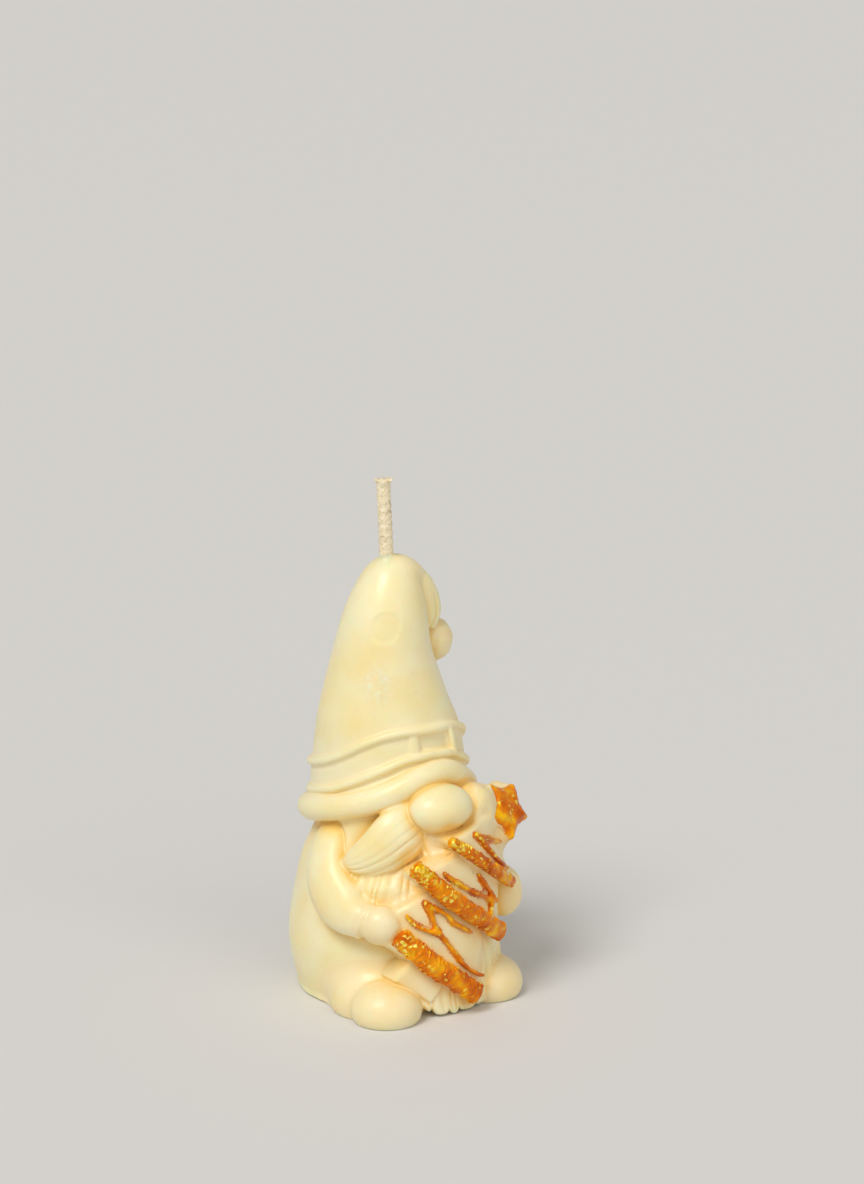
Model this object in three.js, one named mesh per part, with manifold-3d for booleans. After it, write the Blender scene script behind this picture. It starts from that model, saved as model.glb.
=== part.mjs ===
// A cast wax candle: a gnome in a tall hat who holds a small fir tree with a star, decorated with gold gel.
// Millimetres, +Z up. The gnome faces -Y and its left hand is on +X. The candle stands on z = 0.
import * as THREE from 'three';
import { mergeVertices } from 'three/addons/utils/BufferGeometryUtils.js';
import Module from 'manifold-3d';

const wasm = await Module();
wasm.setup();

// ---------------------------------------------------------------- driving dimensions
const GAP = 0.3; // clearance between neighbouring pieces
const GROWTH = 1.35 * GAP; // how far a piece is grown before it cuts its neighbour, so that facets keep the gap
const BODY_HEIGHT = 45; // the bell runs up under the hat, where the brim cuts it
const HAT_TOP = 85.5;
const WICK_RADIUS = 1.25;
const WICK_LENGTH = 100.8;
const WICK_LEAN = 0.6; // sideways at its tip, to the right hand
const BORE_RADIUS = WICK_RADIUS + GAP;

const BRIM_RADIUS = 14.8; // to the middle of the rolled edge
const BRIM_ROLL = 2.55; // radius of the rolled edge
const BRIM_MEAN = 38.6; // height of the roll halfway round
const BRIM_TILT = 4.5; // the front is this much higher, the back this much lower
const BRIM_ARCH = 4.1; // extra lift over the nose
const BRIM_ARCH_WIDTH = 0.52; // radians
const BRIM_CENTRE = 39.5; // height of the web where the wick passes
const BRIM_WEB_RADIUS = 12.2;
const BRIM_WEB_HALF = 1.5; // half thickness of the web

const CORD_RADIUS = 0.85;
const CORD_STANDOFF = 0.1; // how far the middle of a cord lies outside the skin of the crown
const LOWER_CORD_RISE = 3.9; // above the middle of the brim
const UPPER_CORD_RISE = 9.2;
const CORD_FLATTENING = 0.35; // how much less than the brim the cords arch at the front
const BUCKLE_SINK = 1.5; // a buckle bar reaches this far under the skin of the crown
const BUCKLE_STANDOFF = 1.0;

const LEFT_BOOT = { x: 11.7, y: -17.0, z: 2.4, across: 6.9, along: 6.9, up: 5.4 };
const RIGHT_BOOT = { ...LEFT_BOOT, x: -12.5, y: -17.5 };
const TROUSER = { x: 10.7, y: -12.4, z: 2.2, across: 9.2, along: 7.2, up: 6.4 };
const NOSE = { x: 0, y: -17.6, z: 39.9, across: 6.4, along: 5.2, up: 4.6 };

const TREE_FOOT = new THREE.Vector3(-8.2, 0, 6.9); // where the trunk meets the lowest tier, seen from the front
const TREE_LEAN = THREE.MathUtils.degToRad(37);
const TREE_FRONT = 24.0; // the face of the tree lies on a cylinder of this radius
const TREE_BACK = 19.5;
const TIER_MIDDLE = -1.2; // the tiers sit this far to the right hand's side of the trunk
const TIERS = {
  // along: from the lower edge to the upper edge; half widths there; bulge of the lower edge over the tier below
  bottom: { from: 3.4, to: 18.5, lowHalf: 14.6, highHalf: 7.4, lift: 0.5 },
  middle: { from: 16.4, to: 28.5, lowHalf: 14.4, highHalf: 6.8, lift: 0.5 },
  top: { from: 25.0, to: 36.5, lowHalf: 12.4, highHalf: 2.4, lift: 0.4 },
};

const STAR = { x: 15.3, y: -18.3, z: 37.3, tip: 6.4, notch: 3.7, depth: 4.4, azimuth: 19, tilt: 22, spin: 24 };

// ---------------------------------------------------------------- materials
const wax = (color, roughness = 0.38) => new THREE.MeshStandardMaterial({ color, roughness, metalness: 0 });
const IVORY = 0xf0dcab;
const CREAM = 0xf2e0ba;
const goldGel = () => new THREE.MeshStandardMaterial({ color: 0xd98a14, roughness: 0.25, metalness: 0.35 });
const cotton = () => new THREE.MeshStandardMaterial({ color: 0xddd0b8, roughness: 0.9, metalness: 0 });

// ---------------------------------------------------------------- helpers
const clamp01 = (t) => Math.min(1, Math.max(0, t));
const smooth = (t) => clamp01(t) ** 2 * (3 - 2 * clamp01(t));
const mix = (a, b, t) => a + (b - a) * t;

// A value read from [place, value] stops, eased between them.
function along(stops, place) {
  const last = stops.length - 1;
  const next = stops.findIndex(([at]) => at > place);
  if (next === 0) return stops[0][1];
  if (next < 0) return stops[last][1];
  const [a, va] = stops[next - 1];
  const [b, vb] = stops[next];
  return mix(va, vb, smooth((place - a) / (b - a)));
}

// Angle round the gnome, 0 at the front and positive towards its left hand.
const angleOf = (x, y) => Math.atan2(x, -y);
const around = (angle, radius, z) => new THREE.Vector3(radius * Math.sin(angle), -radius * Math.cos(angle), z);

function brimHeight(angle) {
  return BRIM_MEAN + BRIM_TILT * Math.cos(angle) + BRIM_ARCH * Math.exp(-((angle / BRIM_ARCH_WIDTH) ** 2));
}

// Merges shared vertices, moves each through a formula, and drops the slivers at poles.
function form(geometry, move = (v) => v) {
  const bare = geometry.clone();
  bare.deleteAttribute('normal');
  bare.deleteAttribute('uv');
  const merged = mergeVertices(bare, 1e-4);
  const place = merged.getAttribute('position');
  const v = new THREE.Vector3();
  for (let i = 0; i < place.count; i += 1) {
    const moved = move(v.fromBufferAttribute(place, i));
    place.setXYZ(i, moved.x, moved.y, moved.z);
  }
  const kept = [];
  const index = merged.index.array;
  for (let i = 0; i < index.length; i += 3) {
    const [a, b, c] = [index[i], index[i + 1], index[i + 2]];
    if (a !== b && b !== c && c !== a) kept.push(a, b, c);
  }
  merged.setIndex(kept);
  merged.computeVertexNormals();
  return merged;
}

// A form as a solid, with its surface moved out by `grow`.
function solid(shape, grow = 0) {
  const place = shape.getAttribute('position');
  const normal = shape.getAttribute('normal');
  const vertProperties = new Float32Array(place.count * 3);
  for (let i = 0; i < place.count; i += 1) {
    vertProperties[3 * i] = place.getX(i) + grow * normal.getX(i);
    vertProperties[3 * i + 1] = place.getY(i) + grow * normal.getY(i);
    vertProperties[3 * i + 2] = place.getZ(i) + grow * normal.getZ(i);
  }
  const triVerts = new Uint32Array(shape.index.array);
  const made = new wasm.Manifold(new wasm.Mesh({ numProp: 3, vertProperties, triVerts }));
  return made.volume() < 0 ? solid(flipped(shape), grow) : made;
}

function flipped(shape) {
  const turned = shape.clone();
  const index = Array.from(turned.index.array);
  for (let i = 0; i < index.length; i += 3) [index[i], index[i + 1]] = [index[i + 1], index[i]];
  turned.setIndex(index);
  turned.computeVertexNormals();
  return turned;
}

// The largest separate body of a solid: cutting may leave crumbs behind.
function largest(cut) {
  const parts = cut.decompose();
  return parts.reduce((best, part) => (part.volume() > best.volume() ? part : best));
}

function ellipsoid({ x, y, z, across, along: deep, up }, { turn = 0, sides = 14, rings = 8 } = {}) {
  const pose = new THREE.Matrix4().makeRotationZ(turn);
  pose.setPosition(x, y, z);
  pose.scale(new THREE.Vector3(across, deep, up));
  const ball = new THREE.SphereGeometry(1, sides, rings).rotateX(Math.PI / 2);
  return form(ball, (v) => v.applyMatrix4(pose));
}

const outwards = (p) => new THREE.Vector3(p.x, p.y, 0).normalize();

// A closed, round-ended form along a curve. width and depth are half sizes at t = 0 to 1 along it: width lies
// across the curve and along the skin below, depth points away from it.
function loft(points, width, depth, { sides = 9, rings = 8, blunt = 0.3, facing = outwards } = {}) {
  const curve = new THREE.CatmullRomCurve3(points.map((p) => new THREE.Vector3(...p)));
  return form(new THREE.SphereGeometry(1, sides, rings), (v) => {
    const t = clamp01((1 - v.y) / 2);
    const ring = Math.hypot(v.x, v.z);
    const size = ring > 1e-6 ? ring ** (blunt - 1) : 0;
    const centre = curve.getPoint(t);
    const tangent = curve.getTangent(t);
    const side = new THREE.Vector3().crossVectors(tangent, facing(centre)).normalize();
    const out = new THREE.Vector3().crossVectors(side, tangent);
    return centre.addScaledVector(side, v.x * size * width(t)).addScaledVector(out, v.z * size * depth(t));
  });
}

const mirrored = (shape) => flipped(form(shape, (v) => v.setX(-v.x)));

function lathe(profile, sides, move) {
  const outline = profile.map(([r, z]) => new THREE.Vector2(r, z));
  return form(new THREE.LatheGeometry(outline, sides).rotateX(Math.PI / 2), move);
}

// ---------------------------------------------------------------- body and legs
function bell() {
  const profile = [
    [0, 0], [9, 0], [17.0, 0], [17.4, 0.5], [17.2, 1.2], [17.6, 2.6], [18.3, 6], [18.85, 10.5], [18.7, 14.5],
    [18.0, 19], [17.3, 23], [16.3, 27], [14.7, 31], [13.5, 34], [13.0, 38], [13.0, BODY_HEIGHT], [0, BODY_HEIGHT],
  ];
  return lathe(profile, 28);
}

const boreForm = form(
  new THREE.CylinderGeometry(BORE_RADIUS, BORE_RADIUS, 2 * WICK_LENGTH, 16).rotateX(Math.PI / 2),
);
const wickForm = form(
  new THREE.CylinderGeometry(WICK_RADIUS, WICK_RADIUS, WICK_LENGTH, 14, 12).rotateX(Math.PI / 2),
  (v) => v.setZ(v.z + WICK_LENGTH / 2).setX(v.x - WICK_LEAN * smooth((v.z - HAT_TOP) / (WICK_LENGTH - HAT_TOP))),
);

const TROUSER_TURN = 0.61; // radians towards the side, so that the bulge follows the bell
const trouserForm = ellipsoid(TROUSER, { turn: TROUSER_TURN, sides: 16 });

// ---------------------------------------------------------------- arms and mittens
const RIGHT_ARM = [
  [-11.8, -0.4, 34.4], [-14.9, -2.0, 31.2], [-16.9, -4.4, 27.0], [-17.4, -7.6, 23.4], [-16.7, -11.6, 20.8],
  [-15.2, -15.8, 19.4],
];
const LEFT_ARM = [
  [11.8, -0.4, 34.4], [14.9, -1.8, 31.2], [17.2, -3.8, 27.0], [18.2, -6.2, 23.4], [18.4, -8.8, 20.9],
  [18.2, -11.4, 19.6],
];
const sleeveWidth = (t) => mix(4.0, 4.9, smooth(t / 0.6)) - 0.9 * smooth((t - 0.7) / 0.3);
const sleeveDepth = (t) => mix(2.4, 3.3, smooth(t / 0.5));
const RIGHT_MITTEN = { x: -13.5, y: -18.5, z: 19.4, across: 3.7, along: 3.2, up: 3.8, turn: -0.66 };
const LEFT_MITTEN = { x: 18.1, y: -13.4, z: 19.2, across: 3.3, along: 3.7, up: 4.9, turn: 0.9 };

// ---------------------------------------------------------------- beard and moustache
const BEARD_HALF_ANGLE = 0.9;
const BEARD_TUCK = 0.45; // half angle low down on the right, where the tree's corner covers the beard
const BEARD_TOP = 36.5;
const BEARD_FOOT = 0.4;
const BEARD_FOOT_RISE = 9; // the sides of the beard end this much higher
const BEARD_THINNING = 1.6; // towards the sides
const BEARD_BACK = 15.0;
const BEARD_FRONT = [[0, 23.4], [5, 23.2], [12, 22.6], [22, 21.4], [30, 20.4], [37, 19.4]];

// A block bent round the front of the body: x is the angle, y the way out, z the height.
function beard() {
  return form(new THREE.BoxGeometry(2, 1, 1, 8, 1, 7), (v) => {
    const side = Math.abs(v.x);
    const foot = BEARD_FOOT + BEARD_FOOT_RISE * side ** 3;
    const z = mix(foot, BEARD_TOP, v.z + 0.5);
    const reach = v.x > 0 ? BEARD_HALF_ANGLE : mix(BEARD_TUCK, BEARD_HALF_ANGLE, smooth((z - 12) / 10));
    const angle = v.x * reach;
    const thin = BEARD_THINNING * side ** 4;
    const radius = mix(BEARD_BACK, along(BEARD_FRONT, z) - thin, v.y + 0.5);
    return around(angle, radius, z);
  });
}

const MOUSTACHE = [
  [-0.9, -20.0, 36.6], [-6.2, -19.3, 36.6], [-11.0, -16.9, 34.4], [-14.4, -13.9, 31.9], [-16.7, -10.2, 30.0],
];
const leafWidth = (t) => 4.9 * Math.sin(Math.PI * clamp01(0.16 + 0.8 * t)) ** 0.8 + 0.4;
const leafDepth = (t) => mix(2.1, 1.2, t);
const moustacheForm = loft(MOUSTACHE, leafWidth, leafDepth, { sides: 8, rings: 8, blunt: 0.6 });

// ---------------------------------------------------------------- hat
// How far the middle of the crown lies to the left hand's side, by height.
const CROWN_SHIFT = [[41, 0.3], [50, 0.3], [57, -0.4], [66, -1.0], [72, -0.7], [79, 0.3], [HAT_TOP, 1.4]];

function crown() {
  const profile = [
    [0, 35], [15.0, 35], [15.0, 41], [14.6, 47], [13.75, 53], [12.1, 58.5], [10.6, 63.5], [9.5, 67.5], [8.7, 71.5],
    [8.0, 75], [7.1, 78], [5.9, 81], [4.5, 83.4], [2.6, 84.9], [0, HAT_TOP],
  ];
  return lathe(profile, 24, (v) => v.setX(v.x + along(CROWN_SHIFT, v.z)));
}

// A thick web under the crown that ends in a round roll, lifted with the brim.
function brim() {
  const profile = [[0, -BRIM_WEB_HALF], [BRIM_WEB_RADIUS, -BRIM_WEB_HALF]];
  for (let step = 0; step <= 6; step += 1) {
    const turn = THREE.MathUtils.degToRad(-126 + 42 * step);
    profile.push([BRIM_RADIUS + BRIM_ROLL * Math.cos(turn), BRIM_ROLL * Math.sin(turn)]);
  }
  profile.push([BRIM_WEB_RADIUS, BRIM_WEB_HALF], [0, BRIM_WEB_HALF]);
  return lathe(profile, 28, (v) => {
    const blend = smooth(Math.hypot(v.x, v.y) / BRIM_WEB_RADIUS);
    return v.setZ(v.z + mix(BRIM_CENTRE, brimHeight(angleOf(v.x, v.y)), blend));
  });
}

const CROWN_SKIN = [[41, 15.0], [47, 14.6], [53, 13.75], [59, 12.0]]; // height and radius

// A cord laid round the crown, following the brim at a fixed rise.
function hatCord(rise) {
  const ring = new THREE.TorusGeometry(1, CORD_RADIUS, 6, 28);
  return form(ring, (v) => {
    const angle = angleOf(v.x, v.y);
    const flatter = CORD_FLATTENING * BRIM_ARCH * Math.exp(-((angle / BRIM_ARCH_WIDTH) ** 2));
    const height = brimHeight(angle) + rise - flatter;
    const radius = along(CROWN_SKIN, height) + CORD_STANDOFF;
    const out = Math.hypot(v.x, v.y) - 1;
    return around(angle, radius + out, height + v.z).add(new THREE.Vector3(along(CROWN_SHIFT, height), 0, 0));
  });
}

// An upright bar of the buckle between the two cords, at an angle round the crown.
function buckleBar(angle, halfWidth) {
  return form(new THREE.BoxGeometry(2, 1, 1, 4, 2, 5), (v) => {
    const turn = angle + (v.x * halfWidth) / CROWN_SKIN[1][1];
    const base = brimHeight(turn);
    const z = mix(base + LOWER_CORD_RISE - 1.0, base + UPPER_CORD_RISE - 1.0, v.z + 0.5);
    const radius = along(CROWN_SKIN, z);
    return around(turn, mix(radius - BUCKLE_SINK, radius + BUCKLE_STANDOFF - 0.35 * v.x ** 2, v.y + 0.5), z);
  });
}

const TIP = [[3.0, 0.2, 83.0], [6.4, 0.3, 80.9], [8.5, 0.4, 77.0], [9.2, 0.6, 73.2], [8.9, 0.8, 70.4]];
const tipSize = (t) => mix(3.4, 2.9, t);
const tipForm = loft(TIP, tipSize, tipSize, { blunt: 0.5, facing: () => new THREE.Vector3(0, -1, 0) });
const POMPOM = { x: 11.3, y: 1.4, z: 67.1, across: 4.2, along: 4.2, up: 4.2 };

// ---------------------------------------------------------------- tree and star
const treeUp = new THREE.Vector3(Math.sin(TREE_LEAN), 0, Math.cos(TREE_LEAN));
const treeRight = new THREE.Vector3(Math.cos(TREE_LEAN), 0, -Math.sin(TREE_LEAN));

// A point of the tree: s up its trunk, q to its right, on a cylinder of the given radius round the gnome.
function onTree(s, q, radius) {
  const p = TREE_FOOT.clone().addScaledVector(treeUp, s).addScaledVector(treeRight, q);
  return p.setY(-Math.sqrt(Math.max(radius ** 2 - p.x ** 2, 1)));
}

function tier({ from, to, lowHalf, highHalf, lift }) {
  return form(new THREE.BoxGeometry(2, 1, 1, 6, 1, 4), (v) => {
    const rise = v.z + 0.5;
    const half = mix(lowHalf, highHalf, rise ** 0.9) * (1 - 0.06 * (1 - rise) ** 8);
    const s = mix(from, to, rise) + 0.9 * (1 - rise) * Math.abs(v.x) ** 3;
    const edge = 0.9 * Math.abs(v.x) ** 6 + 0.7 * (2 * rise - 1) ** 8;
    const front = TREE_FRONT + lift * (1 - 2 * rise) - edge;
    return onTree(s, TIER_MIDDLE + v.x * half, mix(TREE_BACK, front, v.y + 0.5));
  });
}

const TRUNK = { from: -1.6, to: 4.4, half: 4.3, front: 23.6, back: 19.5 };
const trunkForm = form(new THREE.BoxGeometry(2, 1, 1, 4, 2, 4), (v) =>
  onTree(mix(TRUNK.from, TRUNK.to, v.z + 0.5), v.x * TRUNK.half, mix(TRUNK.back, TRUNK.front, v.y + 0.5)),
);

// Places the star's own frame (x right, y up, z out of its face) on the tree top.
const starPose = new THREE.Matrix4()
  .makeRotationZ(THREE.MathUtils.degToRad(STAR.azimuth))
  .multiply(new THREE.Matrix4().makeRotationX(THREE.MathUtils.degToRad(90 - STAR.tilt)))
  .multiply(new THREE.Matrix4().makeRotationZ(THREE.MathUtils.degToRad(STAR.spin)))
  .setPosition(STAR.x, STAR.y, STAR.z);

function starForm(tip, notch, back, front, bevel) {
  const outline = new THREE.Shape();
  const corner = (k, r) => [r * Math.sin((k * Math.PI) / 5), r * Math.cos((k * Math.PI) / 5)];
  const soft = 0.22; // how far the round of a tip reaches down its edges
  for (let k = 0; k < 10; k += 2) {
    const before = corner(k - 1, notch);
    const peak = corner(k, tip);
    const after = corner(k + 1, notch);
    const enter = [mix(peak[0], before[0], soft), mix(peak[1], before[1], soft)];
    const leave = [mix(peak[0], after[0], soft), mix(peak[1], after[1], soft)];
    if (k === 0) outline.moveTo(...before);
    outline.lineTo(...enter);
    outline.quadraticCurveTo(...peak, ...leave);
    if (k < 8) outline.lineTo(...after);
  }
  outline.closePath();
  const options = {
    depth: front - back - 2 * bevel,
    bevelEnabled: bevel > 0,
    bevelThickness: bevel,
    bevelSize: bevel,
    bevelOffset: -bevel,
    bevelSegments: 2,
    curveSegments: 4,
  };
  return form(new THREE.ExtrudeGeometry(outline, options).translate(0, 0, back + bevel), (v) =>
    v.applyMatrix4(starPose),
  );
}

// ---------------------------------------------------------------- gold gel
// The face of the tree at s, read from the uppermost tier that reaches there.
function treeFace(s) {
  const tierHere = [TIERS.top, TIERS.middle, TIERS.bottom].find(({ from, to }) => s >= from && s <= to);
  if (!tierHere) return TREE_FRONT;
  const { from, to, lift } = tierHere;
  return TREE_FRONT + lift * (1 - (2 * (s - from)) / (to - from));
}

const BEAD_RISE = 0.45; // the middle of a bead lies this far outside the face of the tree

// A bead of gel squeezed along places on the tree, each given as [s, q].
function bead(places, half, thick, rings = 8, sides = 8) {
  const points = places.map(([s, q]) => onTree(s, q, treeFace(s) + BEAD_RISE).toArray());
  return loft(points, () => half, () => thick, { sides, rings, blunt: 0.3 });
}

const GARLANDS = {
  garland_bottom: { places: [[6.2, -10.0], [5.2, -3], [5.0, 4], [4.6, 13.0]], half: 2.1, thick: 1.3 },
  garland_middle: { places: [[18.7, -15.3], [17.9, -6], [17.9, 4], [17.4, 12.0]], half: 1.8, thick: 1.25 },
  garland_top: { places: [[26.2, -12.4], [26.4, -4], [26.6, 4], [26.8, 11.2]], half: 1.2, thick: 1.0 },
};

// Thin trails left as the tube was drawn back and forth; the runs of one trail flow into each other.
const TRAIL_HALF = 0.6;
const TRAIL_THICK = 0.6;
const TRAILS = {
  trail_top: [
    [[30.1, -7.4], [30.9, -3.0], [32.4, 4.2]],
    [[30.2, -7.2], [29.3, -2.9], [28.7, 1.8], [28.7, 7.4]],
  ],
  trail_middle: [
    [[20.6, -9.9], [20.3, -7.9], [20.4, -4.8], [20.6, -1.5], [21.0, 1.3], [21.6, 5.2]],
    [[24.0, -2.1], [23.2, 0.6], [22.6, 3.1], [21.9, 6.4]],
  ],
  trail_bottom: [
    [[10.1, -11.0], [9.6, -9.2], [9.6, -7.2], [10.0, -5.2], [10.6, -3.6]],
    [[14.1, -9.7], [12.9, -7.4], [11.4, -5.3], [10.6, -3.6]],
    [[14.1, -9.6], [14.1, -7.3], [14.2, -4.3], [13.7, -2.0], [13.8, 0.6], [14.0, 3.2]],
    [[10.6, -3.8], [9.7, -0.8], [8.8, 2.0], [7.9, 5.6], [7.9, 9.2]],
  ],
};

// ---------------------------------------------------------------- assembly
const candle = new THREE.Group();
const made = {};

// Adds one named piece: its form, or several forms joined, less each neighbour grown by the gap.
function add(name, shapes, neighbours, material) {
  const joined = (grow) => [shapes].flat().map((shape) => solid(shape, grow)).reduce((all, one) => all.add(one));
  const whole = joined(0);
  made[name] = { grown: joined(GROWTH).add(whole) };
  let cut = whole;
  for (const neighbour of neighbours) cut = cut.subtract(made[neighbour].grown);
  const piece = largest(cut);
  const { vertProperties, triVerts } = piece.getMesh();
  const geometry = new THREE.BufferGeometry();
  geometry.setAttribute('position', new THREE.BufferAttribute(new Float32Array(vertProperties), 3));
  geometry.setIndex(Array.from(triVerts));
  geometry.computeVertexNormals();
  const mesh = new THREE.Mesh(geometry, material);
  mesh.name = name;
  candle.add(mesh);
}

const FLOOR_SIDE = 200;
const FLOOR_DEPTH = 30;
made.floor = {
  grown: solid(form(new THREE.BoxGeometry(FLOOR_SIDE, FLOOR_SIDE, FLOOR_DEPTH).translate(0, 0, -FLOOR_DEPTH / 2))),
};
made.bore = { grown: solid(boreForm) };

add('wick', wickForm, ['floor'], cotton());
add('hat_brim', brim(), ['bore'], wax(IVORY));
add('body', bell(), ['bore', 'hat_brim'], wax(IVORY));
add('hat_crown', crown(), ['bore', 'hat_brim'], wax(IVORY));
add('hat_cord_lower', hatCord(LOWER_CORD_RISE), ['hat_crown', 'hat_brim'], wax(IVORY));
add('hat_cord_upper', hatCord(UPPER_CORD_RISE), ['hat_crown'], wax(IVORY));
const onBand = ['hat_crown', 'hat_cord_lower', 'hat_cord_upper'];
add('buckle_bar_right', buckleBar(-0.24, 1.0), onBand, wax(IVORY));
add('buckle_bar_left', buckleBar(0.4, 0.8), onBand, wax(IVORY));
add('hat_tip', tipForm, ['hat_crown', 'bore'], wax(IVORY));
add('pompom', ellipsoid(POMPOM), ['hat_crown', 'hat_tip'], wax(CREAM));

const trunk = ['body', 'hat_brim', 'floor'];
add('nose', ellipsoid(NOSE), trunk, wax(IVORY, 0.32));
add('moustache_right', moustacheForm, [...trunk, 'nose'], wax(IVORY));
add('moustache_left', mirrored(moustacheForm), [...trunk, 'nose', 'moustache_right'], wax(IVORY));
const face = ['nose', 'moustache_right', 'moustache_left'];

add('trouser_right', mirrored(trouserForm), trunk, wax(CREAM));
add('trouser_left', trouserForm, [...trunk, 'trouser_right'], wax(CREAM));
const legs = ['trouser_right', 'trouser_left'];
add('boot_right', ellipsoid(RIGHT_BOOT, { sides: 16 }), [...trunk, ...legs], wax(CREAM));
add('boot_left', ellipsoid(LEFT_BOOT, { sides: 16 }), [...trunk, ...legs, 'boot_right'], wax(CREAM));
legs.push('boot_right', 'boot_left');

add('arm_right', loft(RIGHT_ARM, sleeveWidth, sleeveDepth), [...trunk, ...face, ...legs], wax(IVORY));
add('arm_left', loft(LEFT_ARM, sleeveWidth, sleeveDepth), [...trunk, ...face, ...legs], wax(IVORY));
const arms = ['arm_right', 'arm_left'];
add('mitten_right', ellipsoid(RIGHT_MITTEN, { turn: RIGHT_MITTEN.turn }), [...trunk, ...legs, ...arms], wax(CREAM));
add('mitten_left', ellipsoid(LEFT_MITTEN, { turn: LEFT_MITTEN.turn }), [...trunk, ...legs, ...arms], wax(CREAM));
arms.push('mitten_right', 'mitten_left');
add('beard', beard(), [...trunk, ...face, ...legs, ...arms], wax(IVORY));

const behindTree = [...trunk, ...face, ...legs, ...arms, 'beard'];
add('tree_tier_bottom', tier(TIERS.bottom), behindTree, wax(CREAM));
add('tree_tier_middle', tier(TIERS.middle), [...behindTree, 'tree_tier_bottom'], wax(CREAM));
add('star', starForm(STAR.tip, STAR.notch, -STAR.depth, 0, 0.2), [...behindTree, 'tree_tier_middle'], wax(CREAM));
add('tree_tier_top', tier(TIERS.top), [...behindTree, 'tree_tier_middle', 'star'], wax(CREAM));
add('tree_trunk', trunkForm, [...behindTree, 'tree_tier_bottom'], wax(CREAM));
const tree = ['tree_tier_bottom', 'tree_tier_middle', 'tree_tier_top', 'tree_trunk', 'star'];

add('star_gel', starForm(STAR.tip - 0.3, STAR.notch - 0.2, -0.6, 0.85, 0.2), [...behindTree, ...tree], goldGel());
for (const [name, { places, half, thick }] of Object.entries(GARLANDS)) {
  add(name, bead(places, half, thick), [...behindTree, ...tree], goldGel());
}
for (const [name, runs] of Object.entries(TRAILS)) {
  const beads = runs.map((places) => bead(places, TRAIL_HALF, TRAIL_THICK, 1 + places.length, 5));
  add(name, beads, [...behindTree, ...tree, ...Object.keys(GARLANDS)], goldGel());
}

// The origin is under the middle of the whole candle's box.
const box = new THREE.Box3().setFromObject(candle);
candle.position.set(-(box.min.x + box.max.x) / 2, -(box.min.y + box.max.y) / 2, 0);
candle.updateMatrixWorld(true);

export default candle;
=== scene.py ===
"""The looks of a cast wax candle: a gnome in a tall hat with a fir tree, gold gel trim and a cotton wick.

Every piece is a distance field in the gnome's own frame: millimetres, the wick's foot at x = y = 0, the face
towards -Y, the left hand on +X, and z = 0 on the floor. A piece's surface flows into its neighbours' with a
small fillet, as in the casting, and is then turned into a closed mesh in the CAD frame. Needs Blender 4.5.
"""

import math

import bpy
import numpy as np
import openvdb as vdb
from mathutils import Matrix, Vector


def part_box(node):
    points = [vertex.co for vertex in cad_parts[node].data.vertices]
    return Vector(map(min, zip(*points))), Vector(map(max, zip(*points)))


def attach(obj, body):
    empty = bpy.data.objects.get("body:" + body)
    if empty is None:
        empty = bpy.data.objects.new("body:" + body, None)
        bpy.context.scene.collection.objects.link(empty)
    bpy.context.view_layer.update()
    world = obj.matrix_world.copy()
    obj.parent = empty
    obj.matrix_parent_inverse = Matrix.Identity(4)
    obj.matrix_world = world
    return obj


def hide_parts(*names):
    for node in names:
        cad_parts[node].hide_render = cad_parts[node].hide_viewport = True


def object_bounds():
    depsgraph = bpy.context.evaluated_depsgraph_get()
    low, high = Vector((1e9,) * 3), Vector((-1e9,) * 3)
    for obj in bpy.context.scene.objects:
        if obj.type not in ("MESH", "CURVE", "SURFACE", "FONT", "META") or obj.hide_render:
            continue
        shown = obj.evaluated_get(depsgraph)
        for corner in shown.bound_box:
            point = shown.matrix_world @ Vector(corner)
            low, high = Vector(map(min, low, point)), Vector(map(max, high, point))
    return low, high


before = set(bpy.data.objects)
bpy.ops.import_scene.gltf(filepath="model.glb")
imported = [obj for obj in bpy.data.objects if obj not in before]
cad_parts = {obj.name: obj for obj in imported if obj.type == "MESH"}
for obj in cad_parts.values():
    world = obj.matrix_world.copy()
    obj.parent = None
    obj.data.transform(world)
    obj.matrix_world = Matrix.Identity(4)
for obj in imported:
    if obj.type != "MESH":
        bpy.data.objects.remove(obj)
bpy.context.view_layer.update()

MM = 0.001
WICK_LEAN = 0.6  # the wick's tip lies this far to the right hand's side of its foot
wick_low, wick_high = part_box("wick")
AXIS = (np.array(wick_low) + np.array(wick_high)) / 2 + (WICK_LEAN / 2 * MM, 0, 0)
AXIS[2] = 0
WICK_TOP = wick_high.z / MM


# ---- numbers
def smooth(t):
    t = np.clip(t, 0.0, 1.0)
    return t * t * (3 - 2 * t)


def mix(a, b, t):
    return a + (b - a) * t


def join(a, b, k):
    """The union of two fields, with a fillet about k wide between them."""
    h = np.maximum(k - np.abs(a - b), 0) / k
    return np.minimum(a, b) - h * h * k * 0.25


def trim(a, b, radius):
    """What two fields have in common, with the edge between them rounded."""
    inside = np.minimum(np.maximum(a, b) + radius, 0)
    return inside + np.hypot(np.maximum(a + radius, 0), np.maximum(b + radius, 0)) - radius


def flow(points, count):
    """A Catmull-Rom curve through the points, as count places evenly spaced in the points' own numbering."""
    p = np.array(points, float)
    p = np.vstack([2 * p[0] - p[1], p, 2 * p[-1] - p[-2]])
    at = np.linspace(0, len(points) - 1, count)
    i = np.minimum(at.astype(int), len(points) - 2)
    t = (at - i)[:, None]
    a, b, c, d = p[i], p[i + 1], p[i + 2], p[i + 3]
    return 0.5 * (2 * b + (c - a) * t + (2 * a - 5 * b + 4 * c - d) * t**2 + (3 * b - a - 3 * c + d) * t**3)


def stops(*pairs):
    """A smooth function through [place, value] stops."""
    dense = flow(pairs, 40 * len(pairs))
    place, value = np.maximum.accumulate(dense[:, 0]), dense[:, 1]
    return lambda at: np.interp(at, place, value).astype(np.float32)


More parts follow.
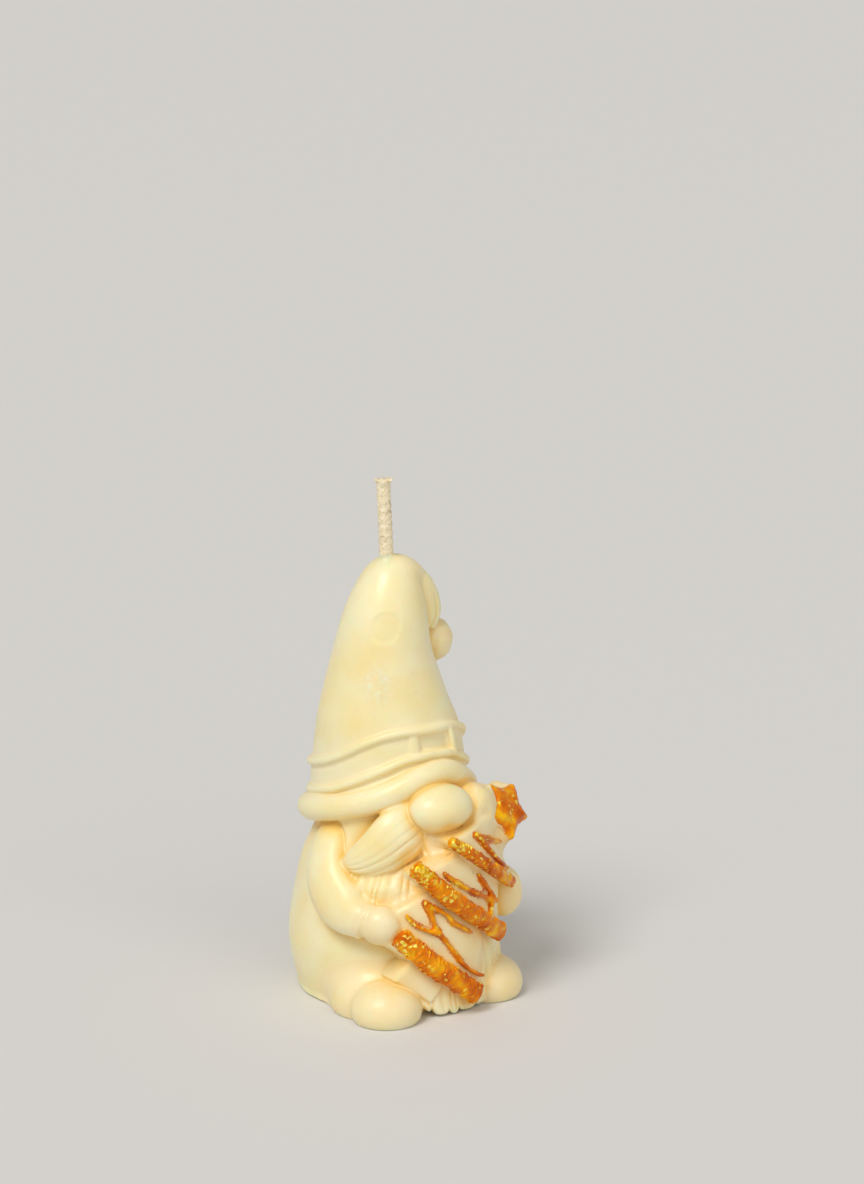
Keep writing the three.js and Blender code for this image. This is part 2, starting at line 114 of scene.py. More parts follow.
def ripple(seed, length, waves=7):
    """A smooth random field, mostly between -1 and 1, whose waves are about this many millimetres long."""
    rng = np.random.default_rng(seed)
    ways = rng.normal(size=(waves, 3))
    ways *= (2 * np.pi / length * rng.uniform(0.6, 1.5, waves) / np.linalg.norm(ways, axis=1))[:, None]
    phases = rng.uniform(0, 2 * np.pi, waves)

    def at(x, y, z):
        total = 0
        for (a, b, c), phase in zip(ways.astype(np.float32), phases.astype(np.float32)):
            total = total + np.sin(a * x + b * y + c * z + phase)
        return total / (waves * 0.55)

    return at


def angle_of(x, y):
    """The angle round the gnome, 0 at the front and positive towards its left hand."""
    return np.arctan2(x, -y)


# ---- kinds of field
def rounded(*axes):
    """About the distance to an ellipsoid, from an offset and a radius along each of its axes."""
    k0 = np.sqrt(sum((offset / radius) ** 2 for offset, radius in axes))
    k1 = np.sqrt(sum((offset / radius**2) ** 2 for offset, radius in axes))
    return k0 * (k0 - 1) / np.maximum(k1, 1e-4)


def ellipsoid(centre, radii, turn=0.0):
    cx, cy, cz = centre
    a, b, c = radii
    co, si = math.cos(turn), math.sin(turn)

    def field(x, y, z):
        dx, dy, dz = x - cx, y - cy, z - cz
        u, v = co * dx + si * dy, co * dy - si * dx
        return rounded((u, a), (v, b), (dz, c))

    reach = max(a, b)
    return field, (cx - reach, cy - reach, cz - c), (cx + reach, cy + reach, cz + c)


def outline_distance(corners, u, v, round_axis=False):
    """The distance to a closed outline in a plane, negative inside. One round an axis is open along it."""
    best, inside = 1e9, np.zeros(np.broadcast(u, v).shape, bool)
    for (au, av), (bu, bv) in zip(corners, corners[1:] + corners[:1]):
        eu, ev = bu - au, bv - av
        if abs(ev) > 1e-9:
            inside ^= ((av > v) != (bv > v)) & (u < au + eu * (v - av) / ev)
        if round_axis and max(au, bu) < 1e-6:
            continue
        t = np.clip(((u - au) * eu + (v - av) * ev) / max(eu * eu + ev * ev, 1e-12), 0, 1)
        best = np.minimum(best, (u - au - t * eu) ** 2 + (v - av - t * ev) ** 2)
    return np.where(inside, -1, 1) * np.sqrt(best)


class Profile:
    """The distance to a closed outline in the plane of radius and height, kept in a table."""

    STEP = 0.2

    def __init__(self, outline):
        outline = np.array(outline, float)
        self.low = outline.min(0) - 8
        self.low[0] = 0
        count = np.ceil((outline.max(0) + 8 - self.low) / self.STEP).astype(int) + 1
        r = self.low[0] + self.STEP * np.arange(count[0])
        z = self.low[1] + self.STEP * np.arange(count[1])
        self.table = outline_distance(outline.tolist(), r[:, None], z[None, :], True).astype(np.float32)

    def at(self, r, z):
        u = np.clip((r - self.low[0]) / self.STEP, 0, self.table.shape[0] - 1.001)
        v = np.clip((z - self.low[1]) / self.STEP, 0, self.table.shape[1] - 1.001)
        u, v = np.broadcast_arrays(u, v)
        i, j = u.astype(np.int32), v.astype(np.int32)
        u, v = u - i, v - j
        t = self.table
        return mix(mix(t[i, j], t[i + 1, j], u), mix(t[i, j + 1], t[i + 1, j + 1], u), v)


class Path:
    """A smooth path with a frame at each place: along it, across it, and away from the skin below."""

    def __init__(self, points, facing=None, count=90):
        self.centre = flow(points, count)
        self.tangent = np.gradient(self.centre, axis=0)
        self.step = np.linalg.norm(self.tangent, axis=1)
        self.tangent /= self.step[:, None]
        out = self.centre * [1, 1, 0] if facing is None else np.tile(np.array(facing, float), (count, 1))
        self.side = np.cross(self.tangent, out)
        self.side /= np.linalg.norm(self.side, axis=1)[:, None]
        self.out = np.cross(self.side, self.tangent)
        self.length = self.step.sum()

    def near(self, x, y, z):
        """Where each point lies: the share of the way, how far past an end, across, and out."""
        x, y, z = np.broadcast_arrays(x, y, z)
        best = np.full(x.shape, 1e9, np.float32)
        index = np.zeros(x.shape, np.int32)
        for i, (cx, cy, cz) in enumerate(self.centre.astype(np.float32)):
            d = (x - cx) ** 2 + (y - cy) ** 2 + (z - cz) ** 2
            closer = d < best
            best[closer] = d[closer]
            index[closer] = i
        last = len(self.centre) - 1

        def off(name, where):
            frames = getattr(self, name).astype(np.float32)
            lower = np.clip(np.floor(where), 0, last - 1).astype(np.int32)
            share = np.clip(where - lower, 0, 1)[..., None].astype(np.float32)
            return frames[lower] * (1 - share) + frames[lower + 1] * share

        p = np.stack([x, y, z], -1).astype(np.float32)
        where = index.astype(np.float32)
        for _ in range(2):
            d = p - off("centre", where)
            slide = (d * off("tangent", where)).sum(-1)
            where = where + slide / self.step.astype(np.float32)[index]
        past = np.maximum(-where, where - last) * self.step.mean()
        where = np.clip(where, 0, last)
        d = p - off("centre", where)
        across = (d * off("side", where)).sum(-1)
        out = (d * off("out", where)).sum(-1)
        return where / last, np.maximum(past, 0), across, out


def strand(past, across, out, width, depth, cap):
    """The field of a form with elliptic sections along a path."""
    return rounded((across, width), (out, depth), (past, cap))


def span(points, reach):
    """The box of a path's points, with room round it."""
    p = np.array(points, float)
    return tuple(p.min(0) - reach), tuple(p.max(0) + reach)


# ---- body and legs
BODY_TOP = 45.0
BELL = [
    (17.3, 0.0), (17.7, 0.5), (17.6, 1.3), (18.0, 2.8), (18.75, 6), (19.3, 10.5), (19.1, 14.5), (18.35, 19),
    (17.5, 23), (16.4, 27), (14.7, 31), (13.5, 34), (13.0, 38), (13.0, BODY_TOP),
]
CROWN = [
    (15.0, 33), (15.0, 36), (15.0, 41), (14.6, 47), (13.75, 53), (12.1, 58.5), (10.6, 63.5), (9.5, 67.5),
    (8.7, 71.5), (8.0, 75), (7.1, 78), (5.9, 81), (4.5, 83.4), (2.6, 84.9), (0, 85.5),
]
HAT_TOP = 85.5
WICK_HOLE = 0.9  # the wax closes round the wick, so this stays hidden inside the cord

bell_profile = Profile([(0, 0), *flow(BELL, 160), (0, BODY_TOP)])
crown_profile = Profile([(0, 33), *flow(CROWN, 200)])
crown_radius = stops(*[(z, r) for r, z in CROWN[:-1]])
crown_shift = stops(
    (36, 0.3), (50, 0.3), (57, -0.4), (66, -1.0), (72, -0.7), (79, 0.3), (HAT_TOP, 1.4), (95, 1.4)
)

BRIM_RADIUS, BRIM_ROLL = 14.8, 2.55
BRIM_MEAN, BRIM_TILT, BRIM_ARCH, BRIM_ARCH_WIDTH, BRIM_ARCH_AT = 38.1, 3.6, 4.3, 0.6, 0.05
BRIM_WEB_HALF = 1.5
LITTLE_TURN = 0.05  # the angle over which slopes are taken

lip_wear = ripple(3, 5.0)
slow_wave = ripple(11, 17.0)


def brim_height(angle):
    arch = np.exp(-(((angle - BRIM_ARCH_AT) / BRIM_ARCH_WIDTH) ** 2))
    return BRIM_MEAN + BRIM_TILT * np.cos(angle) + BRIM_ARCH * arch


def above_line(height_at, angle, z):
    """How far a point lies above a line that runs round the hat, measured square to the line."""
    rise = height_at(angle + LITTLE_TURN) - height_at(angle - LITTLE_TURN)
    return (z - height_at(angle)) / np.hypot(1, rise / (2 * LITTLE_TURN * BRIM_RADIUS))


RIGHT_ARM = [
    (-11.8, -0.4, 34.6), (-14.9, -2.0, 31.2), (-16.9, -4.4, 27.0), (-17.5, -7.6, 23.4), (-16.9, -11.6, 20.8),
    (-15.5, -15.0, 19.5),
]
LEFT_ARM = [
    (11.8, -0.4, 34.6), (14.9, -1.8, 31.2), (17.2, -3.8, 27.0), (18.2, -6.2, 23.4), (18.4, -8.8, 20.9),
    (18.2, -11.4, 19.6),
]


SLEEVE_WIDTHS, SLEEVE_DEPTHS = (3.9, 5.2), (2.2, 3.5)  # half of each, at the shoulder and at the elbow
SLEEVE_CAP = 2.6


def sleeve_field(path):
    def field(x, y, z):
        t, past, across, out = path.near(x, y, z)
        width = mix(*SLEEVE_WIDTHS, smooth(t / 0.6)) - 1.5 * smooth((t - 0.68) / 0.3)
        depth = mix(*SLEEVE_DEPTHS, smooth(t / 0.5)) - 0.4 * smooth((t - 0.7) / 0.3)
        return strand(past, across, out, width, depth, SLEEVE_CAP)

    return field


right_sleeve = sleeve_field(Path(RIGHT_ARM))
ARM_GROOVE, GROOVE_HALF = 0.45, 0.4  # a fine line follows the arm where it leaves the body
BREAST = 1.9  # how far the wax swells between an arm and the beard
BREAST_AT, BREAST_WIDTH = 1.0, 0.46  # angles
LIP_WEAR, SKIN_WAVE = 0.10, 0.07
FOOT_EDGE = 0.25  # the rounding where a form is cut flat on the floor


def body_field(x, y, z):
    r = np.hypot(x, y)
    swell = np.exp(-(((np.abs(angle_of(x, y)) - BREAST_AT) / BREAST_WIDTH) ** 2)) * smooth((z - 24) / 6)
    f = bell_profile.at(r - BREAST * swell, z)
    behind_arm = (right_sleeve(-np.abs(x), y, z) - GROOVE_HALF / 2) / GROOVE_HALF
    f = f + ARM_GROOVE * np.exp(-(behind_arm**2)) * smooth((y + 13) / 4)
    f = f - LIP_WEAR * lip_wear(x, y, z) * smooth((2.2 - z) / 1.6) - SKIN_WAVE * slow_wave(x, y, z)
    f = trim(f, -z, FOOT_EDGE)
    f = trim(f, z - brim_height(angle_of(x, y)), 0.4)
    return np.maximum(f, WICK_HOLE - r)


def brim_field(x, y, z):
    r, angle = np.hypot(x, y), angle_of(x, y)
    upright = above_line(brim_height, angle, z)
    roll = np.hypot(r - BRIM_RADIUS, upright) - BRIM_ROLL - 0.12 * slow_wave(1.3 * x, 1.3 * y, z)
    web = np.maximum(np.abs(upright) - BRIM_WEB_HALF, r - BRIM_RADIUS)
    return np.maximum(join(roll, web, 1.5), WICK_HOLE - r)


# The hat's small marks: a shallow round dent, a patch of crystals in the wax, and the panel of the buckle.
DENT, DENT_RADIUS, DENT_DEPTH, DENT_RIM = (-0.58, 73.4), 3.3, 0.19, 0.03  # the first is its angle and height
FROST, FROST_SIZE, FROST_GRIT = (-0.71, 62.8), (2.9, 4.4), 0.05
PANEL = (-0.155, 0.335)  # the angles that it lies between
PANEL_DEPTH = 0.35
BAND_RADIUS = 14.3
CORD_RADIUS, CORD_STANDOFF = 0.78, 0.15
CORD_MIDDLE = -0.03  # the angle where the cords are highest
# The height of each cord, by the angle from there.
LOWER_CORD = stops((0, 49.6), (0.35, 49), (0.7, 46.9), (1.15, 43.8), (1.45, 42.1), (2.2, 39.3), (3.3, 37.6))
UPPER_CORD = stops((0, 54.3), (0.45, 54), (0.85, 52.3), (1.25, 49.3), (1.7, 46.6), (2.25, 44.8), (3.3, 43.2))

grit = ripple(23, 1.3, 9)


def cord_height(angle, cord):
    return cord(np.abs(angle - CORD_MIDDLE))


def on_hat(x, y, z):
    """Radius and angle about the leaning middle of the hat."""
    sideways = x - crown_shift(z)
    return np.hypot(sideways, y), angle_of(sideways, y)


def from_frost(r, angle, z):
    """The distance from the middle of the frosted patch, where 1 is its edge."""
    return np.hypot((angle - FROST[0]) * r / FROST_SIZE[0], (z - FROST[1]) / FROST_SIZE[1])


def hat_marks(x, y, z):
    """How far the hat's skin lies below its plain form."""
    r, angle = on_hat(x, y, z)
    from_rim = DENT_RADIUS - np.hypot((angle - DENT[0]) * r, z - DENT[1])
    dent = DENT_DEPTH * smooth(from_rim) - DENT_RIM * np.exp(-((from_rim / 0.5) ** 2))
    frost = smooth(1.5 - from_frost(r, angle, z)) * grit(x, y, z) * FROST_GRIT
    panel = PANEL_DEPTH * (
        smooth((angle - PANEL[0]) * 14 / 0.5)
        * smooth((PANEL[1] - angle) * 14 / 0.5)
        * smooth((z - cord_height(angle, LOWER_CORD) - 0.6) / 0.6)
        * smooth((cord_height(angle, UPPER_CORD) - 0.6 - z) / 0.6)
    )
    return dent + frost + panel


def crown_field(x, y, z):
    r, _ = on_hat(x, y, z)
    f = crown_profile.at(r, z) + hat_marks(x, y, z) - 0.10 * slow_wave(x, y, 0.7 * z)
    f = np.maximum(f, brim_height(angle_of(x, y)) - z)
    collar = np.maximum(np.hypot(x, y) - 1.35, z - HAT_TOP - 0.5)
    f = join(f, collar, 1.1)
    return np.maximum(f, WICK_HOLE - np.hypot(x, y))


def cord_field(cord, seed):
    thickness = ripple(seed, 6.0)

    def field(x, y, z):
        r, angle = on_hat(x, y, z)
        upright = above_line(lambda at: cord_height(at, cord), angle, z)
        away = np.hypot(r - crown_radius(cord_height(angle, cord)) - CORD_STANDOFF, upright)
        return away - CORD_RADIUS - 0.09 * thickness(x, y, z)

    return field


def buckle_field(middle, half, proud):
    def field(x, y, z):
        r, angle = on_hat(x, y, z)
        across = (angle - middle) * BAND_RADIUS
        side = np.abs(across) - half
        front = r - (crown_radius(z) + proud - 0.25 * (across / half) ** 2)
        ends = np.maximum(cord_height(angle, LOWER_CORD) - z, z - cord_height(angle, UPPER_CORD))
        f = trim(trim(side, front, 0.35), ends, 0.2)
        return np.maximum(f, crown_radius(z) - 1.6 - r)

    return field


# ---- hat tip and pompom
TIP = [
    (1.6, 0.1, 81.2), (4.3, 0.0, 80.7), (6.6, -0.2, 78.8),
    (8.3, -0.1, 75.9), (8.8, 0.1, 73.0), (8.3, 0.2, 70.9),
]
TIP_OPENS = (79.5, 83.0)  # between these heights the fold of the tip parts from the crown
tip_path = Path(TIP, facing=(0, -1, 0))
POMPOM = (11.3, 1.4, 67.1)
POMPOM_RADIUS = 4.4
wool = ripple(31, 2.6, 9)


def tip_field(x, y, z):
    t, past, across, out = tip_path.near(x, y, z)
    size = mix(2.9, 3.35, smooth(t / 0.4)) - 0.5 * smooth((t - 0.75) / 0.25)
    f = strand(past, across, out, size, size * 0.98, 1.7)
    curl = np.exp(-(((across + 0.9 - 1.6 * (t - 0.7)) / 0.28) ** 2)) * smooth((t - 0.45) / 0.2)
    return f + 0.42 * curl * smooth(out / 0.8)


def pompom_field(x, y, z):
    f, _, _ = ellipsoid(POMPOM, (POMPOM_RADIUS,) * 3)
    return f(x, y, z) - 0.12 * wool(x, y, z) - 0.10 * slow_wave(3 * x, 3 * y, 3 * z)


# ---- face
NOSE = ((-0.2, -17.8, 39.9), (6.6, 5.3, 4.6))
MOUSTACHE = [
    (0.5, -13.0, 38.8), (-3.0, -14.2, 38.0), (-8.0, -14.9, 35.9), (-11.6, -13.4, 32.8), (-14.2, -10.8, 30.3),
    (-15.7, -8.3, 28.9),
]
LEAF_HALF = stops((0, 3.4), (0.2, 4.8), (0.4, 5.4), (0.6, 4.6), (0.8, 3.3), (0.93, 2.0), (1, 1.1))
LEAF_BULGE = 0.8  # its lower edge is fuller than its upper edge
LEAF_GROOVE = 0.19
LEAF_DEPTH = stops((0, 2.2), (0.4, 3.1), (0.7, 2.5), (1, 1.0))
moustache_path = Path(MOUSTACHE)


def moustache_field(x, y, z):
    """The right half."""
    t, past, across, out = moustache_path.near(x, y, z)
    width = LEAF_HALF(t)
    across = across + LEAF_BULGE * np.sin(np.pi * t)
    v = np.clip(across / width, -1.2, 1.2)
    groove = np.abs(np.sin(np.pi * (2.7 * v + 0.55 + 0.35 * t + 0.10 * np.sin(5 * v))))
    groove = (1 - groove) ** 1.5 * smooth((1 - t) / 0.2) * smooth((1.02 - np.abs(v)) / 0.3)
    groove = groove * (0.5 + 0.5 * smooth((0.35 - v) / 0.7))
    return strand(past, across, out, width, LEAF_DEPTH(t), 1.2) + LEAF_GROOVE * groove


BEARD_TOP, BEARD_BACK, BEARD_FOOT = 37.5, 14.0, 0.15
BEARD_HALF_ANGLE, BEARD_TUCK = 0.98, 0.5
STRAND_WIDTH, STRAND_DEPTH = 1.6, 0.30
STRAND_RADIUS = 21  # the strands are laid out round the body at this radius
beard_front = stops(
    (-4, 23.5), (0, 23.5), (5, 23.2), (12, 22.6), (18, 21.8), (24, 21.2), (28, 20.8), (33, 20.5), (42, 20.0)
)
BEARD_HOLLOW = 3.1  # how far it falls back below the moustache
hair_wave = ripple(41, 14.0)


def beard_field(x, y, z):
    r, angle = np.hypot(x, y), angle_of(x, y)
    reach = np.where(angle > 0, BEARD_HALF_ANGLE, mix(BEARD_TUCK, BEARD_HALF_ANGLE, smooth((z - 12) / 10)))
    s = np.abs(angle) / reach
    lock = angle * STRAND_RADIUS / STRAND_WIDTH
    lock = lock + 0.42 * np.sin(0.42 * z + 2.2 * angle) + 0.40 * hair_wave(x, 0 * y, 0.8 * z)
    lock = lock + 0.28 * np.sin(lock * 2.1)
    ridge = np.abs(np.cos(np.pi * lock))
    hollow = BEARD_HOLLOW * smooth((np.abs(angle) - 0.03) / 0.25) * smooth((z - 25) / 6)
    depth = STRAND_DEPTH * (0.3 + 0.7 * smooth(z / 5))
    front = beard_front(z) - 1.6 * s**4 - hollow - depth * (1 - ridge) ** 1.5
    lobe = np.abs(np.cos(np.pi * lock / 2))
    foot = BEARD_FOOT + 9 * s**3 + 1.0 * (1 - lobe) ** 2
    f = trim(r - front, foot - z, 1.0)
    f = trim(f, (s - 1) * reach * r, 1.2)
    top = BEARD_TOP + 1.5 - 9 * np.minimum(s, 1.2) ** 2
    return np.maximum(trim(f, z - top, 1.2), np.maximum(BEARD_BACK - r, -z))


# ---- limbs
RIGHT_MITTEN = ((-13.8, -17.8, 19.2), (4.1, 3.3, 3.8), -0.66)
LEFT_MITTEN = ((18.1, -13.4, 18.5), (3.4, 3.8, 5.1), 0.9)
TROUSER = ((10.7, -12.4, 2.2), (9.2, 7.2, 6.4), 0.61)
LEFT_BOOT = ((11.7, -17.0, 2.4), (6.9, 6.9, 5.4))
RIGHT_BOOT = ((-12.5, -17.5, 2.4), (6.9, 6.9, 5.4))


def footed(shape):
    """A form that is cut flat where it stands."""
    field, low, high = shape
    return lambda x, y, z: trim(field(x, y, z), -z, FOOT_EDGE), (low[0], low[1], 0.0), high


def mirrored(shape):
    field, low, high = shape
    return lambda x, y, z: field(-x, y, z), (-high[0], low[1], low[2]), (-low[0], high[1], high[2])


# ---- tree and star
TREE_FOOT = (-8.2, 6.9)  # x and z where the trunk meets the lowest tier
TREE_LEAN = math.radians(37)
LEAN_SIN, LEAN_COS = math.sin(TREE_LEAN), math.cos(TREE_LEAN)
TREE_FRONT, TREE_BACK = 24.0, 18.5
TIER_MIDDLE = -1.2
TIERS = {  # along the tree: from, to; half widths there; bulge of the lower edge; fall of the upper end
    "tree_tier_bottom": (3.4, 18.5, 14.6, 7.4, 0.5, 0.0),
    "tree_tier_middle": (16.4, 28.5, 13.5, 6.0, 0.5, 0.0),
    "tree_tier_top": (25.0, 36.5, 12.4, 2.4, 0.4, 2.6),
}
TRUNK = (-1.6, 4.4, 4.3, 23.6)  # from, to, half width, front
soft_wave = ripple(53, 7.0)


def tree_place(x, z):
    """How far up the tree and to its right a point lies, seen from the front."""
    dx, dz = x - TREE_FOOT[0], z - TREE_FOOT[1]
    return dx * LEAN_SIN + dz * LEAN_COS, dx * LEAN_COS - dz * LEAN_SIN


def on_tree(s, q, radius):
    """The place s up the tree and q to its right, at a radius from the wick."""
    x = TREE_FOOT[0] + s * LEAN_SIN + q * LEAN_COS
    z = TREE_FOOT[1] + s * LEAN_COS - q * LEAN_SIN
    return x, -math.sqrt(max(radius**2 - x**2, 1)), z


def tier_front(rise, lift, fall):
    return TREE_FRONT + lift * (1 - 2 * rise) - fall * rise**2


def tier_field(start, end, low_half, high_half, lift, fall):
    flare = math.atan2(low_half - high_half, end - start)

    def field(x, y, z):
        s, q = tree_place(x, z)
        q = q - TIER_MIDDLE
        rise = np.clip((s - start) / (end - start), 0, 1)
        half = mix(low_half, high_half, rise**0.9)
        share = np.abs(q) / half
        side = (np.abs(q) - half) * math.cos(flare)
        lower = start + 0.9 * (1 - rise) * np.minimum(share, 1.2) ** 3 - s
        outline = trim(trim(side, lower, 1.4), s - end, 1.2)
        front = tier_front(rise, lift, fall) - 0.5 * np.minimum(share, 1.1) ** 6 + 0.12 * soft_wave(x, y, z)
        f = trim(np.hypot(x, y) - front, outline, 0.75)
        return np.maximum(np.maximum(f, TREE_BACK - np.hypot(x, y)), np.maximum(y, -z))

    return field


def trunk_field(x, y, z):
    start, end, half, front = TRUNK
    s, q = tree_place(x, z)
    f = trim(trim(np.abs(q) - half, start - s, 0.6), np.hypot(x, y) - front - 0.1 * soft_wave(x, y, z), 0.7)
    return np.maximum(np.maximum(f, s - end), np.maximum(np.maximum(TREE_BACK - np.hypot(x, y), -z), y))


STAR_AT = np.array([15.3, -18.4, 37.0])
STAR_TIP, STAR_NOTCH, STAR_DEPTH = 6.4, 4.1, 4.6
STAR_FLARE = 0.45  # the sides of the star spread towards its back
STAR_AZIMUTH, STAR_TILT, STAR_SPIN = (math.radians(a) for a in (17, 24, 24))
star_lumps = ripple(61, 3.4)


def turned(angle, axis):
    """The matrix of a turn about the z or the x axis."""
    co, si = math.cos(angle), math.sin(angle)
    if axis == "z":
        return np.array([[co, -si, 0], [si, co, 0], [0, 0, 1]])
    return np.array([[1, 0, 0], [0, co, -si], [0, si, co]])


STAR_POSE = turned(STAR_AZIMUTH, "z") @ turned(math.pi / 2 - STAR_TILT, "x") @ turned(STAR_SPIN, "z")


def star_place(x, y, z):
    d = (x - STAR_AT[0], y - STAR_AT[1], z - STAR_AT[2])
    return [sum(STAR_POSE[i, j] * d[i] for i in range(3)).astype(np.float32) for j in range(3)]


def star_outline(u, v, tip, notch, radius):
    """The distance to a five-pointed star with rounded corners."""
    reach = (tip - 1.7 * radius, notch - 1.1 * radius)
    turns = [k * math.pi / 5 for k in range(10)]
    corners = [(reach[k % 2] * math.sin(turn), reach[k % 2] * math.cos(turn)) for k, turn in enumerate(turns)]
    return outline_distance(corners, u, v) - radius


# The lump between the star, the nose and the brim:
star_root = ellipsoid((8.4, -16.6, 38.4), (4.2, 4.2, 4.6))[0]


def star_field(x, y, z):
    u, v, w = star_place(x, y, z)
    lumps = star_lumps(x, y, z)
    outline = star_outline(u, v, STAR_TIP, STAR_NOTCH, 0.75) - 0.16 * lumps
    outline = outline - STAR_FLARE * np.clip(-w - 0.8, 0, 4)
    star = trim(trim(outline, w - 0.05, 0.6), -STAR_DEPTH - w, 0.5)
    return join(star, star_root(x, y, z) - 0.15 * lumps - 0.05 * grit(x, y, z), 1.8)


def star_gel_field(x, y, z):
    u, v, w = star_place(x, y, z)
    outline = star_outline(u, v, STAR_TIP - 0.25, STAR_NOTCH - 0.2, 0.6) + 0.08 * grit(x, y, z)
    top = 0.15 + 0.65 * smooth(-outline / 1.3) + 0.05 * grit(1.2 * x, y, z) + 0.14 * star_lumps(x, y, z)
    return trim(trim(outline, w - top, 0.25), -0.7 - w, 0.1)


# ---- gold gel
BEAD_RISE = 0.45
GARLANDS = {
    "garland_bottom": ([(6.1, -9.3), (5.0, -3), (4.7, 4), (4.6, 11.0)], 2.1, 1.35),
    "garland_middle": ([(18.5, -15.3), (17.2, -6), (17.1, 3), (17.2, 10.7)], 1.8, 1.3),
    "garland_top": ([(26.2, -12.3), (26.4, -4), (26.6, 3), (26.8, 9.7)], 1.2, 1.05),
}
TRAIL_HALF, TRAIL_THICK = 0.38, 0.42
TRAILS = {
    "trail_top": [
        [(30.1, -7.4), (30.9, -3.0), (32.4, 4.2)],
        [(30.2, -7.2), (29.3, -2.9), (28.7, 1.8), (28.7, 7.4)],
    ],
    "trail_middle": [
        [(20.6, -9.9), (20.3, -7.9), (20.4, -4.8), (20.6, -1.5), (21.0, 1.3), (21.6, 5.2), (22.1, 7.0)],
        [(24.0, -2.1), (23.2, 0.6), (22.6, 3.1), (21.8, 5.8)],
        [(21.4, 4.4), (20.0, 5.2), (18.4, 5.8)],
    ],
    "trail_bottom": [
        [(10.1, -11.0), (9.6, -9.2), (9.6, -7.2), (10.0, -5.2), (10.6, -3.6)],
        [(14.1, -9.7), (12.9, -7.4), (11.4, -5.3), (10.6, -3.6)],
        [(14.1, -9.6), (14.1, -7.3), (14.2, -4.3), (13.7, -2.0), (13.8, 0.6), (14.0, 3.2)],
        [(10.6, -3.8), (9.7, -0.8), (8.8, 2.0), (7.9, 5.6), (7.9, 9.2), (8.3, 11.0)],
    ],
}
RIDGE_SPACING = 1.15  # of the ripples across a thick bar
gel_lumps = ripple(71, 2.2, 9)
fine_lumps = ripple(73, 0.9, 9)


def tree_face(s):
    """The radius of the tree's face, read from the uppermost tier that reaches there."""
    for name in ("tree_tier_top", "tree_tier_middle", "tree_tier_bottom"):
        start, end, _, _, lift, fall = TIERS[name]
        if start <= s <= end:
            return tier_front((s - start) / (end - start), lift, fall)
    return TREE_FRONT


def gel_points(places):
    return [on_tree(s, q, tree_face(s) + BEAD_RISE) for s, q in places]


def bar_field(places, half, thick):
    path = Path(gel_points(places), count=120)

    def field(x, y, z):
        t, past, across, out = path.near(x, y, z)
        run = t * path.length
        lumps = gel_lumps(x, y, z)
        bend = 1.1 * (across / half) ** 2 + 0.35 * lumps
        ridges = np.sin(2 * np.pi * (run + bend) / RIDGE_SPACING + 1.5 * lumps) * smooth(0.5 + lumps)
        width = half * (1 + 0.04 * ridges + 0.08 * lumps) * (1 - 0.1 * smooth((0.2 - t) / 0.2))
        f = strand(past, across, out, width, thick * (1 + 0.07 * lumps), half)
        return f - 0.10 * ridges * smooth(out / 0.6 + 0.6) - 0.025 * fine_lumps(x, y, z)

    return field, *span(gel_points(places), half + 0.8)


def trail_field(runs, seed):
    paths = [Path(gel_points(places), count=14 * len(places)) for places in runs]
    thickness = ripple(seed, 3.2)

    def field(x, y, z):
        swell = 1 + 0.22 * thickness(x, y, z)
        f = None
        for path in paths:
            t, past, across, out = path.near(x, y, z)
            size = swell * (1 - 0.35 * smooth((np.abs(2 * t - 1) - 0.6) / 0.4))
            one = strand(past, across, out, TRAIL_HALF * size, TRAIL_THICK * size, TRAIL_HALF)
            f = one if f is None else join(f, one, 0.9)
        return f - 0.02 * fine_lumps(x, y, z)

    return field, *span([p for places in runs for p in gel_points(places)], 1.4)


# ---- wick
BRAID_PITCH = 5.2  # a strand's whole way from side to side and back
BRAID_WIDE, BRAID_DEEP, YARN = 0.27, 0.13, 1.06
FRAY = 2.0  # the cut end opens over this length
cotton_lumps = ripple(83, 0.55, 10)


def wick_field(x, y, z):
    lean = -WICK_LEAN * smooth((z - HAT_TOP) / (WICK_TOP - HAT_TOP))
    dx = x - lean
    turn = 2 * np.pi * z / BRAID_PITCH
    open_end = 1 + 0.85 * smooth((z - WICK_TOP + FRAY) / FRAY) ** 2
    f = None
    for k in range(3):
        phase = turn + 2 * np.pi * k / 3
        aside, ahead = BRAID_WIDE * open_end * np.sin(phase), BRAID_DEEP * open_end * np.sin(2 * phase)
        yarn = np.hypot(dx - aside, y - ahead) * 0.85 - YARN * 0.88 * open_end**0.5
        f = yarn if f is None else join(f, yarn, 0.3)
    f = f - 0.05 * cotton_lumps(x, y, z)
    top = z - WICK_TOP + 0.35 + 0.3 * cotton_lumps(0.5 * x, 0.5 * y, 0 * z)
    return np.maximum(trim(f, top, 0.1), -z)


# ---- every piece
# piece(name, (field, low corner, high corner), {neighbour it flows into: fillet's width}, voxel, finish)
PIECES = {}


def changing(low, high, share):
    """A fillet that is low millimetres wide where the share is 0 and high where it is 1."""

    def width(x, y, z):
        return mix(low, high, share(x, y, z))

    width.widest = high
    return width


def widest(width):
    return getattr(width, "widest", width)


def piece(name, shape, into, voxel, finish):
    field, low, high = shape
    PIECES[name] = {
        "field": field,
        "low": np.array(low, float),
        "high": np.array(high, float),
        "into": into,
        "voxel": voxel,
        "finish": finish,
        "margin": max((widest(width) for width in into.values()), default=0) + 0.15,
    }


def hat_box(low, high, reach=18.6):
    return (-reach, -reach, low), (reach, reach, high)


IVORY, CREAM, GEL, COTTON = "ivory_wax", "cream_wax", "gold_gel", "wick_cotton"

